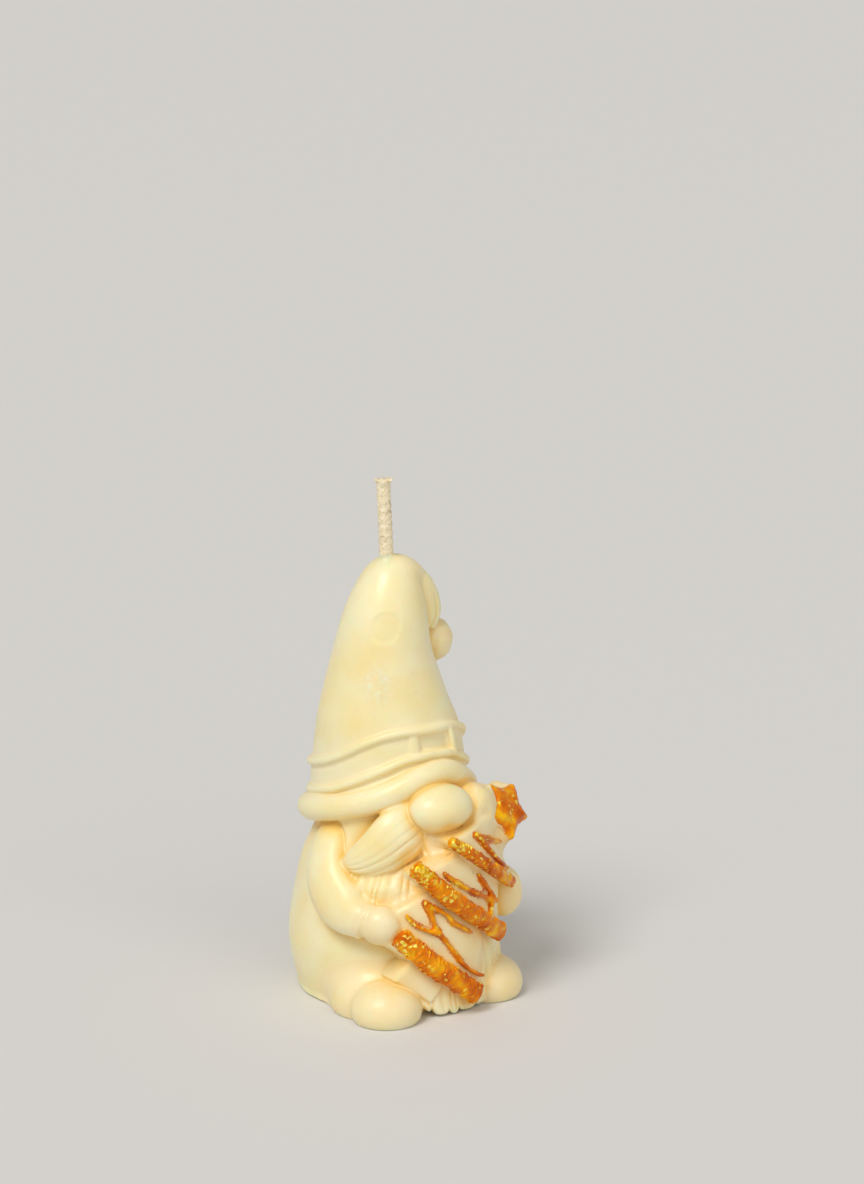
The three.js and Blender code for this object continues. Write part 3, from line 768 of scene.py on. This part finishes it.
piece("wick", (wick_field, (-2.9, -2.4, 0), (2.4, 2.4, WICK_TOP + 0.6)), {}, 0.13, COTTON)
piece("body", (body_field, *hat_box(0, 47.5, 19.8)), {}, 0.34, IVORY)
piece("hat_crown", (crown_field, *hat_box(33, 87, 17.6)), {}, 0.3, IVORY)
piece("hat_brim", (brim_field, *hat_box(31, 50.5)), {"body": 0.7, "hat_crown": 0.7}, 0.27, IVORY)
on_crown = {"hat_crown": 0.5}
on_both = {**on_crown, "hat_brim": 0.5}
piece("hat_cord_lower", (cord_field(LOWER_CORD, 5), *hat_box(36, 52)), on_both, 0.2, IVORY)
piece("hat_cord_upper", (cord_field(UPPER_CORD, 6), *hat_box(41, 57.5)), on_crown, 0.2, IVORY)
on_band = {"hat_crown": 0.3, "hat_cord_lower": 0.4, "hat_cord_upper": 0.4}
right_bar = (buckle_field(-0.24, 1.05, 0.45), (-6, -16.5, 48), (-1, -12, 57))
left_bar = (buckle_field(0.4, 0.75, 1.0), (3, -16.8, 47), (9, -11, 56))
piece("buckle_bar_right", right_bar, on_band, 0.16, IVORY)
piece("buckle_bar_left", left_bar, on_band, 0.16, IVORY)
tip_fold = changing(0.2, 2.6, lambda x, y, z: smooth((z - TIP_OPENS[0]) / (TIP_OPENS[1] - TIP_OPENS[0])))
piece("hat_tip", (tip_field, (-2, -4.5, 67), (13.5, 4.6, 87)), {"hat_crown": tip_fold}, 0.2, IVORY)
low, high = ellipsoid(POMPOM, (POMPOM_RADIUS + 0.5,) * 3)[1:]
piece("pompom", (pompom_field, low, high), {"hat_crown": 0.4, "hat_tip": 0.4}, 0.18, CREAM)

face = {"body": 0.6, "hat_brim": 0.45}
piece("nose", ellipsoid(*NOSE), face, 0.22, IVORY)
right_leaf = (moustache_field, *span(MOUSTACHE, 5.6))
piece("moustache_right", right_leaf, {"body": 0.9, "hat_brim": 0.9, "nose": 0.4}, 0.17, IVORY)
piece("moustache_left", mirrored(right_leaf), {**face, "nose": 0.4, "moustache_right": 0.4}, 0.17, IVORY)

trouser = ellipsoid(*TROUSER)
piece("trouser_right", footed(mirrored(trouser)), {"body": 3.0}, 0.25, CREAM)
piece("trouser_left", footed(trouser), {"body": 3.0, "trouser_right": 1.0}, 0.25, CREAM)
legs = {"body": 0.6, "trouser_right": 0.45, "trouser_left": 0.45}
piece("boot_right", footed(ellipsoid(*RIGHT_BOOT)), legs, 0.22, CREAM)
piece("boot_left", footed(ellipsoid(*LEFT_BOOT)), {**legs, "boot_right": 0.4}, 0.22, CREAM)

# An arm's edge is soft in front and crisp behind.
armpit = changing(0.12, 1.8, lambda x, y, z: smooth((-4 - y) / 4) * smooth((z - 26) / 3))
shoulder = {"body": armpit, "hat_brim": 0.5, "moustache_right": 0.5, "moustache_left": 0.5}
for name, path in (("arm_right", RIGHT_ARM), ("arm_left", LEFT_ARM)):
    piece(name, (sleeve_field(Path(path)), *span(path, 5.9)), shoulder, 0.22, IVORY)
piece("mitten_right", ellipsoid(*RIGHT_MITTEN), {"body": 0.6, "arm_right": 1.5}, 0.2, CREAM)
piece("mitten_left", ellipsoid(*LEFT_MITTEN), {"body": 0.6, "arm_left": 1.5}, 0.2, CREAM)
hairline = {
    "body": 1.2, "nose": 0.5, "moustache_right": 0.7, "moustache_left": 0.7, "arm_right": 1.3,
    "mitten_right": 0.6, "arm_left": 0.5, "mitten_left": 0.5, "boot_left": 0.4, "boot_right": 0.4,
    "trouser_right": 0.4,
}
piece("beard", (beard_field, (-19.5, -24.2, 0), (19.5, -7.5, 39.5)), hairline, 0.24, IVORY)

behind = {
    "beard": 0.4, "mitten_right": 0.45, "mitten_left": 0.45,
    "arm_right": 0.4, "boot_right": 0.4, "boot_left": 0.4,
}
for name, tier in TIERS.items():
    sides = (TIER_MIDDLE - tier[2], 0, TIER_MIDDLE + tier[2])
    corners = [on_tree(s, q, TREE_FRONT) for s in tier[:2] for q in sides]
    low, high = span(corners, 2.5)
    low = (low[0], -TREE_FRONT - 1.2, max(low[2], 0))
    high = (high[0], min(high[1] + 3, 0), high[2])
    below = {"tree_tier_middle": "tree_tier_bottom", "tree_tier_top": "tree_tier_middle"}.get(name)
    into = {**behind, "beard": 1.5, below: 0.35} if below else {**behind, "beard": 1.5}
    piece(name, (tier_field(*tier), low, high), into, 0.22, CREAM)
trunk_low, trunk_high = span([on_tree(s, q, TRUNK[3]) for s in TRUNK[:2] for q in (-TRUNK[2], TRUNK[2])], 1.5)
trunk_shape = (trunk_field, (trunk_low[0], -TRUNK[3] - 1, 0), (trunk_high[0], -15, trunk_high[2]))
piece("tree_trunk", trunk_shape, {**behind, "tree_tier_bottom": 0.35}, 0.2, CREAM)
star_room = STAR_TIP + 2.2
star_box = (tuple(STAR_AT - star_room - (2.6, 0, 0)), tuple(STAR_AT + star_room))
tree_top = {"tree_tier_top": 2.0, "hat_brim": 0.5, "nose": 0.5, "beard": 0.8, "moustache_left": 1.5}
piece("star", (star_field, *star_box), tree_top, 0.18, CREAM)

piece("star_gel", (star_gel_field, *star_box), {"star": 0.15}, 0.13, GEL)
tiers_under = {name: 0.2 for name in TIERS}
for name, (places, half, thick) in GARLANDS.items():
    piece(name, bar_field(places, half, thick), tiers_under, 0.14, GEL)
for seed, (name, runs) in enumerate(TRAILS.items(), 91):
    piece(name, trail_field(runs, seed), {**tiers_under, **{bar: 0.4 for bar in GARLANDS}}, 0.12, GEL)


# ---- from field to mesh
PROUD = 0.012  # a piece's fillet lies this much over the neighbour that it runs out on
BLOCK = 5  # voxels along one side of a block


def flowing(name):
    """The field of a piece with its fillets."""
    made = PIECES[name]

    def field(x, y, z):
        own = made["field"](x, y, z)
        if not made["into"]:
            return own
        f = np.array(own)
        for other, width in made["into"].items():
            near = PIECES[other]
            if callable(width) or np.ndim(x) > 1:
                f = join(f, near["field"](x, y, z), width(x, y, z) if callable(width) else width)
                continue
            low, high = near["low"] - width, near["high"] + width
            there = (f > -1.0) & (own < made["margin"] + 1.0)
            for axis, place in enumerate((x, y, z)):
                there &= (place > low[axis]) & (place < high[axis])
            if there.any():
                f[there] = join(f[there], near["field"](x[there], y[there], z[there]), width)
        return np.maximum(np.maximum(f - PROUD, own - made["margin"]), -z)

    return field


def boxes_meet(a, b, room=1.0):
    return bool(np.all(a["low"] - room < b["high"]) and np.all(b["low"] - room < a["high"]))


def polygons(field, low, high, voxel):
    """The surface where the field is zero, as points and quads, worked out finely in the blocks near it."""
    size = BLOCK * voxel
    low = low - 2.5 * voxel
    blocks = np.ceil((high + 2.5 * voxel - low) / size).astype(int)
    mids = [low[i] + size * (np.arange(blocks[i]) + 0.5) - voxel / 2 for i in range(3)]
    mids = [m.astype(np.float32) for m in mids]
    coarse = field(mids[0][:, None, None], mids[1][None, :, None], mids[2][None, None, :])
    coarse = np.broadcast_to(coarse, blocks)
    limit = 3 * voxel
    values = np.where(coarse > 0, limit, -limit).astype(np.float32)
    values = values.repeat(BLOCK, 0).repeat(BLOCK, 1).repeat(BLOCK, 2)
    near = np.argwhere(np.abs(coarse) < size * 1.25 + 1.5 * voxel)
    offsets = np.stack(np.meshgrid(*[np.arange(BLOCK)] * 3, indexing="ij"), -1).reshape(-1, 3)
    for part in np.array_split(near, max(1, len(near) // 4000)):
        index = (part[:, None, :] * BLOCK + offsets[None]).reshape(-1, 3)
        p = (low + index * voxel).astype(np.float32)
        f = field(p[:, 0], p[:, 1], p[:, 2])
        values[index[:, 0], index[:, 1], index[:, 2]] = np.clip(f, -limit, limit)
    for axis in range(3):
        for end in (0, -1):
            edge = [slice(None)] * 3
            edge[axis] = end
            values[tuple(edge)] = np.maximum(values[tuple(edge)], 0.3 * voxel)
    grid = vdb.FloatGrid(background=limit)
    grid.copyFromArray(values)
    points, quads = grid.convertToQuads(isovalue=0.0)
    return (low + points * voxel).astype(np.float32), quads


def slopes(field, p, step):
    """The field's gradient at points."""
    g = np.zeros_like(p)
    for axis in range(3):
        shift = np.zeros(3, np.float32)
        shift[axis] = step
        a, b = p + shift, p - shift
        g[:, axis] = (field(*a.T) - field(*b.T)) / (2 * step)
    return g


def settled(field, p, voxel):
    """Moves points onto the field's zero, and gives the normals there."""
    g = slopes(field, p, 0.3 * voxel)
    f = field(*p.T)
    move = f / np.maximum((g * g).sum(1), 0.2)
    p = p - np.clip(move, -0.4 * voxel, 0.4 * voxel)[:, None] * g
    return p, g / np.maximum(np.linalg.norm(g, axis=1), 1e-6)[:, None]


def largest_shell(points, quads):
    """Keeps the largest connected surface, so that no crumbs are left."""
    label = np.arange(len(points))
    while True:
        lowest = label[quads].min(1)
        fresh = label.copy()
        for corner in range(4):
            np.minimum.at(fresh, quads[:, corner], lowest)
        fresh = fresh[fresh]
        if np.array_equal(fresh, label):
            break
        label = fresh
    names, counts = np.unique(label[quads[:, 0]], return_counts=True)
    kept = label[quads[:, 0]] == names[counts.argmax()]
    quads = quads[kept]
    used = np.zeros(len(points), bool)
    used[quads] = True
    number = np.cumsum(used) - 1
    return points[used], number[quads]


# ---- hollows and seams
HULL_STEP = 0.6
HULL_LOW, HULL_HIGH = (-24.0, -30.0, -6.0), (27.0, 24.0, 106.0)


class Whole:
    """The union of all pieces on a coarse grid: it tells how deep in a crease a point lies."""

    def __init__(self):
        self.low = np.array(HULL_LOW)
        self.count = np.ceil((np.array(HULL_HIGH) - self.low) / HULL_STEP).astype(int)
        self.values = np.full(self.count, 12.0, np.float32)
        for made in PIECES.values():
            first = np.clip(((made["low"] - 4 - self.low) / HULL_STEP).astype(int), 0, self.count)
            last = np.clip(((made["high"] + 4 - self.low) / HULL_STEP).astype(int), 0, self.count)
            x, y, z = [self.low[i] + HULL_STEP * np.arange(first[i], last[i]) for i in range(3)]
            x, y, z = (a.astype(np.float32) for a in (x[:, None, None], y[None, :, None], z))
            f = made["field"](x, y, z[None, None, :])
            part = tuple(slice(a, b) for a, b in zip(first, last))
            self.values[part] = np.minimum(self.values[part], f)

    def at(self, p):
        u = np.clip((p - self.low) / HULL_STEP, 0, self.count - 1.001)
        i = u.astype(int)
        u = u - i
        total = 0
        for corner in range(8):
            c = np.array([corner & 1, corner >> 1 & 1, corner >> 2 & 1])
            weight = np.where(c, u, 1 - u).prod(1)
            j = i + c
            total = total + weight * self.values[j[:, 0], j[:, 1], j[:, 2]]
        return total

    def crease(self, p, n):
        """0 on an open surface, up to 1 deep between pieces."""
        total = 0
        for distance, weight in ((0.8, 0.2), (1.8, 0.3), (4.5, 0.5)):
            total = total + weight * np.clip(1 - self.at(p + n * distance) / distance, 0, 1)
        return np.clip(total, 0, 1)


def seam_distance(name, p):
    """How far points of a piece lie from the edges where its neighbours begin."""
    made = PIECES[name]
    nearest = np.full(len(p), 9.0, np.float32)
    for other, near in PIECES.items():
        if other == name or other == "wick" or not boxes_meet(made, near, 3):
            continue
        gap = near["field"](*p.T)
        if name in near["into"]:
            gap = gap - near["margin"]
        nearest = np.minimum(nearest, gap)
    return nearest


def placed(name, points, faces, material):
    """A mesh object in the CAD frame that stands for the CAD node of that name."""
    mesh = bpy.data.meshes.new(name + "_form")
    world = points.astype(np.float64) * MM + AXIS
    corners = faces.shape[1]
    mesh.vertices.add(len(world))
    mesh.vertices.foreach_set("co", world.astype(np.float32).ravel())
    mesh.loops.add(faces.size)
    mesh.loops.foreach_set("vertex_index", faces.astype(np.int32).ravel())
    mesh.polygons.add(len(faces))
    mesh.polygons.foreach_set("loop_start", np.arange(0, faces.size, corners, dtype=np.int32))
    mesh.polygons.foreach_set("loop_total", np.full(len(faces), corners, np.int32))
    mesh.update(calc_edges=True)
    mesh.shade_smooth()
    mesh.materials.append(material)
    made = bpy.data.objects.new(name + "_visual", mesh)
    bpy.context.scene.collection.objects.link(made)
    return made


def note(mesh, name, values):
    mesh.attributes.new(name, "FLOAT", "POINT").data.foreach_set("value", values.astype(np.float32))


# ---- materials
def linear(red, green, blue):
    """A colour given as 0 to 255 on screen."""
    shares = [c / 255 for c in (red, green, blue)]
    return (*(c / 12.92 if c < 0.0404 else ((c + 0.055) / 1.055) ** 2.4 for c in shares), 1)


class Nodes:
    """Short ways to build one material."""

    def __init__(self, name):
        self.material = bpy.data.materials.new(name)
        self.material.use_nodes = True
        self.tree = self.material.node_tree
        self.shader = self.tree.nodes["Principled BSDF"]
        self.coordinates = self.add("ShaderNodeTexCoord").outputs["Object"]

    def add(self, kind, links=(), **settings):
        node = self.tree.nodes.new(kind)
        for key, value in settings.items():
            if hasattr(node, key):
                setattr(node, key, value)
            else:
                node.inputs[key.replace("_", " ")].default_value = value
        for socket, source in dict(links).items():
            self.tree.links.new(source, node.inputs[socket])
        return node

    def noise(self, size, detail=3.0, **settings):
        """Noise whose features are about size millimetres, from 0 to 1."""
        settings.update(Scale=1 / (size * MM), Detail=detail)
        return self.add("ShaderNodeTexNoise", {"Vector": self.coordinates}, **settings).outputs["Fac"]

    def cells(self, size):
        """Cells of about size millimetres, each of its own random colour."""
        cells = self.add("ShaderNodeTexVoronoi", {"Vector": self.coordinates}, Scale=1 / (size * MM))
        return cells.outputs["Color"]

    def given(self, name):
        return self.add("ShaderNodeAttribute", attribute_name=name).outputs["Fac"]

    def ramp(self, source, *colours):
        node = self.add("ShaderNodeValToRGB", {"Fac": source})
        elements = node.color_ramp.elements
        while len(elements) < len(colours):
            elements.new(0.5)
        for element, (place, colour) in zip(elements, colours):
            element.position, element.color = place, colour
        return node.outputs["Color"]

    def range(self, source, low, high, to_low, to_high):
        limits = {"From_Min": low, "From_Max": high, "To_Min": to_low, "To_Max": to_high}
        return self.add("ShaderNodeMapRange", {"Value": source}, **limits).outputs["Result"]

    def put(self, values):
        """Gives each socket a fixed value, or the output of another node."""
        for socket, value in values:
            if isinstance(value, bpy.types.NodeSocket):
                self.tree.links.new(value, socket)
            else:
                socket.default_value = value

    def math(self, operation, a, b):
        node = self.add("ShaderNodeMath", operation=operation)
        self.put(zip(node.inputs, (a, b)))
        return node.outputs[0]

    def blend(self, share, a, b):
        node = self.add("ShaderNodeMix", data_type="RGBA")
        self.put(zip((node.inputs[0], node.inputs[6], node.inputs[7]), (share, a, b)))
        return node.outputs[2]

    def bump(self, height, distance, normal=None):
        links = {"Height": height}
        if normal:
            links["Normal"] = normal
        return self.add("ShaderNodeBump", links, Distance=distance * MM, Strength=1.0).outputs["Normal"]

    def set(self, **values):
        self.put((self.shader.inputs[key.replace("_", " ")], value) for key, value in values.items())


def wax(name, light, deep, glow):
    """Satin cast wax: clouded, with painted shade and glow in its creases, a little translucent."""
    n = Nodes(name)
    body = n.blend(n.range(n.noise(9.0, 2.0), 0.35, 0.7, 0.0, 1.0), light, deep)
    specks = n.range(n.noise(0.9, 1.0), 0.70, 0.78, 0.0, 0.12)
    body = n.blend(specks, body, linear(196, 160, 96))
    # painted shade and glow: deep creases take the darker, warmer glow colour
    painted_crease_shade = n.range(n.given("crease"), 0.05, 0.6, 0.0, 0.9)
    crystals = n.range(n.noise(1.0, 5.0, Roughness=0.9), 0.46, 0.58, 0.0, 0.85)
    crystals = n.math("MULTIPLY", n.given("frost"), crystals)
    crystals = n.math("MULTIPLY", crystals, n.range(n.noise(2.9, 2.0), 0.34, 0.48, 0.0, 1.0))
    colour = n.blend(painted_crease_shade, body, glow)
    colour = n.blend(n.math("MULTIPLY", n.given("frost"), 0.12), colour, glow)
    n.set(Base_Color=n.blend(crystals, colour, linear(255, 248, 220)))
    n.set(Roughness=n.range(n.noise(3.0, 3.0), 0.3, 0.7, 0.32, 0.48))
    n.set(Coat_Weight=0.15, Coat_Roughness=0.22)
    n.set(IOR=1.44, Specular_IOR_Level=0.5, Subsurface_Radius=(1.0, 0.62, 0.30), Subsurface_Scale=2.2 * MM)
    n.set(Subsurface_Weight=n.range(n.given("seam"), 0.0, 1.8, 0.0, 0.85))
    skin = n.bump(n.noise(1.6, 4.0), 0.035)
    skin = n.bump(crystals, 0.05, normal=skin)
    n.set(Normal=n.bump(n.noise(0.35, 2.0), 0.008, normal=skin))
    return n.material


def gel(name):
    """Amber gel with gold glitter under a glossy skin."""
    n = Nodes(name)
    amber = n.ramp(
        n.noise(3.2, 2.0),
        (0.30, linear(196, 82, 0)), (0.45, linear(222, 112, 0)),
        (0.58, linear(238, 144, 2)), (0.72, linear(252, 190, 16)),
    )
    lit = n.add("ShaderNodeSeparateColor", {"Color": n.cells(0.62)}).outputs
    heaps = n.range(n.noise(3.8, 1.0), 0.36, 0.60, 0.35, 1.0)
    # real glitter flakes, crowded towards the lit ends of the bars as painted glints
    crowded = n.range(n.math("MULTIPLY", n.given("glitter"), heaps), 0.0, 1.0, 0.97, 0.45)
    shine = n.range(n.math("SUBTRACT", lit["Red"], crowded), 0.0, 0.04, 0.0, 1.0)
    gold = n.blend(n.range(lit["Green"], 0.2, 0.8, 0.0, 1.0), linear(246, 186, 14), linear(255, 240, 110))
    n.set(Base_Color=n.blend(n.math("MULTIPLY", shine, 0.9), amber, gold))
    n.set(Metallic=n.math("MULTIPLY", shine, 0.3))
    n.set(Roughness=n.range(shine, 0.0, 1.0, 0.14, 0.22))
    n.set(IOR=1.45, Specular_IOR_Level=0.6, Specular_Tint=(1.0, 0.80, 0.28, 1))
    n.set(Normal=n.bump(n.math("MULTIPLY", lit["Blue"], shine), 0.06))
    return n.material


def cotton(name):
    """Braided cotton, stiff and pale with wax, with brown specks."""
    n = Nodes(name)
    yarn = n.ramp(
        n.noise(0.5, 4.0),
        (0.3, linear(226, 206, 166)), (0.5, linear(244, 230, 196)), (0.7, linear(252, 242, 216)),
    )
    stain = n.range(n.noise(1.5, 3.0), 0.60, 0.72, 0.0, 0.6)
    n.set(Base_Color=n.blend(stain, yarn, linear(164, 128, 92)))
    n.set(Roughness=n.range(n.noise(0.6, 2.0), 0.3, 0.7, 0.6, 0.9))
    n.set(Normal=n.bump(n.noise(0.16, 4.0), 0.05))
    return n.material


FINISH = {
    IVORY: wax("ivory_wax_satin", linear(250, 238, 197), linear(247, 229, 172), linear(246, 208, 116)),
    CREAM: wax("cream_wax_satin", linear(247, 232, 190), linear(244, 223, 168), linear(244, 204, 118)),
    GEL: gel("gold_glitter_gel"),
    COTTON: cotton("waxed_cotton"),
}


# ---- making the pieces
def frost_of(name, p):
    """How much a point of the hat belongs to the patch where the wax set in crystals."""
    if name != "hat_crown":
        return np.zeros(len(p))
    return smooth(1.35 - from_frost(*on_hat(*p.T), p[:, 2]))


def glitter_with_painted_glints_at(p):
    """How much glitter a point of the gel shows: most where each bar begins, up on the side the key light
    comes from, so the crowding there is partly painted glints.
    """
    _, q = tree_place(p[:, 0], p[:, 2])
    return 0.12 + 0.88 * smooth((1 - q) / 14)


FIBRES, FIBRES_AT_CUT = 70, 0.55  # how many, and the share of them at the cut


def fibres(count, seed):
    """Loose ends of cotton at the cut of the wick and along it, as thin bent three-sided tubes."""
    rng = np.random.default_rng(seed)
    points, faces = [], []
    for k in range(count):
        at_cut = k < count * FIBRES_AT_CUT
        angle = rng.uniform(0, 2 * np.pi)
        spread = rng.uniform(0.2, 1.0) if at_cut else 1.0
        z = WICK_TOP - 0.5 if at_cut else rng.uniform(HAT_TOP + 1, WICK_TOP - 1)
        lean = -WICK_LEAN * float(smooth((z - HAT_TOP) / (WICK_TOP - HAT_TOP)))
        foot = np.array([lean + 1.25 * spread * math.cos(angle), 0.9 * spread * math.sin(angle), z])
        rise = 1.1 if at_cut else rng.uniform(-0.6, 0.8)
        way = np.array([math.cos(angle) * spread, math.sin(angle) * spread, rise])
        way /= np.linalg.norm(way)
        reach = rng.uniform(0.35, 0.85) if at_cut else rng.uniform(0.15, 0.4)
        bend = rng.normal(size=3) * 0.25
        width = 0.045 if at_cut else 0.028
        rings = []
        for t in (0.0, 0.35, 0.7, 1.0):
            centre = foot + way * reach * t + bend * reach * t * t
            centre[2] = min(centre[2], WICK_TOP + 0.2)
            for side in range(3):
                turn = 2 * np.pi * side / 3
                rings.append(centre + width * (1 - 0.7 * t) * np.array([math.cos(turn), math.sin(turn), 0]))
        start = len(points)
        points += rings
        for ring in range(3):
            for side in range(3):
                a, b = start + 3 * ring + side, start + 3 * ring + (side + 1) % 3
                faces.append([a, b, b + 3, a + 3])
        faces += [[start, start + 2, start + 1], [start + 9, start + 10, start + 11]]
    return np.array(points), faces


def add_fibres(obj, material):
    """Joins the loose ends into the wick's mesh."""
    points, faces = fibres(FIBRES, 101)
    mesh = bpy.data.meshes.new("wick_fibres")
    mesh.from_pydata((points * MM + AXIS).tolist(), [], faces)
    mesh.materials.append(material)
    loose = bpy.data.objects.new("wick_fibres", mesh)
    bpy.context.scene.collection.objects.link(loose)
    with bpy.context.temp_override(active_object=obj, selected_editable_objects=[obj, loose]):
        bpy.ops.object.join()
    obj.data.shade_smooth()


HAT_GLOW = 0.35  # less light is caught in the creases of the hat
ON_HAT = [name for name in PIECES if name.startswith(("hat_", "buckle_", "pompom"))]
COARSER = 1.0
for made in PIECES.values():
    made["into"] = {name: width for name, width in made["into"].items() if boxes_meet(made, PIECES[name])}
whole = Whole()
for name, made in PIECES.items():
    made["voxel"] *= COARSER
    field = flowing(name)
    room = made["margin"] if made["into"] else 0.4
    points, quads = polygons(field, made["low"] - room, made["high"] + room, made["voxel"])
    points, quads = largest_shell(points, quads)
    points, normals = settled(field, points, made["voxel"])
    visual = placed(name, points, quads, FINISH[made["finish"]])
    if made["finish"] in (IVORY, CREAM):
        # the crease depth drives the painted shade and glow in the wax's creases
        note(visual.data, "crease", whole.crease(points, normals) * (HAT_GLOW if name in ON_HAT else 1))
        note(visual.data, "seam", np.maximum(seam_distance(name, points), 0))
        note(visual.data, "frost", frost_of(name, points))
    if made["finish"] == GEL:
        note(visual.data, "glitter", glitter_with_painted_glints_at(points))
    if name == "wick":
        add_fibres(visual, FINISH[COTTON])
    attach(visual, "root")
    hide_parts(name)

# ---- floor, light and camera
shown_low, shown_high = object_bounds()
centre = (shown_low + shown_high) / 2

FLOOR_SIZE = 30.0
bpy.ops.mesh.primitive_plane_add(size=FLOOR_SIZE, location=(0, 0, 0))
floor = bpy.context.object
floor.name = "studio_floor"
ground = Nodes("pale_floor")
ground.set(Base_Color=(0.72, 0.72, 0.72, 1), Roughness=0.75)
floor.data.materials.append(ground.material)

VIEW_AZIMUTH, VIEW_ELEVATION = math.radians(-35), math.radians(16.5)
VIEW_DISTANCE = 0.65
FOCAL_LENGTH, SENSOR = 102.8, 36.0
AIM_RIGHT, AIM_UP = 0.0064, 0.0277  # the candle stands low and a little left in the view


def from_azimuth(azimuth, elevation):
    level = math.cos(elevation)
    return Vector((math.sin(azimuth) * level, -math.cos(azimuth) * level, math.sin(elevation)))


def aimed(obj, target):
    obj.rotation_mode = "QUATERNION"
    obj.rotation_quaternion = (target - obj.location).to_track_quat("-Z", "Y")


towards = from_azimuth(VIEW_AZIMUTH, VIEW_ELEVATION)
right = Vector((0, 0, 1)).cross(towards).normalized()
up = towards.cross(right).normalized()
camera = bpy.data.objects.new("camera", bpy.data.cameras.new("camera"))
bpy.context.scene.collection.objects.link(camera)
camera.data.lens, camera.data.sensor_width = FOCAL_LENGTH, SENSOR
camera.location = centre + towards * VIEW_DISTANCE
aimed(camera, centre + right * AIM_RIGHT + up * AIM_UP)
camera.data.clip_start, camera.data.clip_end = 0.01, 20
bpy.context.scene.camera = camera


def soft_light(name, azimuth, elevation, spread, strength, colour):
    """A far, wide light, such as a large softbox, that lights the floor evenly."""
    data = bpy.data.lights.new(name, "SUN")
    data.angle, data.energy, data.color = math.radians(spread), strength, colour
    lamp = bpy.data.objects.new(name, data)
    bpy.context.scene.collection.objects.link(lamp)
    lamp.location = centre + from_azimuth(math.radians(azimuth), math.radians(elevation))
    aimed(lamp, centre)


soft_light("key_light", -70, 52, 24, 1.7, (1.0, 0.98, 0.95))
soft_light("front_fill", -5, 30, 50, 0.55, (1.0, 0.96, 0.90))

world = bpy.data.worlds.new("studio")
world.use_nodes = True
world.node_tree.nodes["Background"].inputs["Color"].default_value = (1.0, 0.97, 0.91, 1)
world.node_tree.nodes["Background"].inputs["Strength"].default_value = 0.40
bpy.context.scene.world = world
bpy.context.scene.view_settings.view_transform = "Standard"
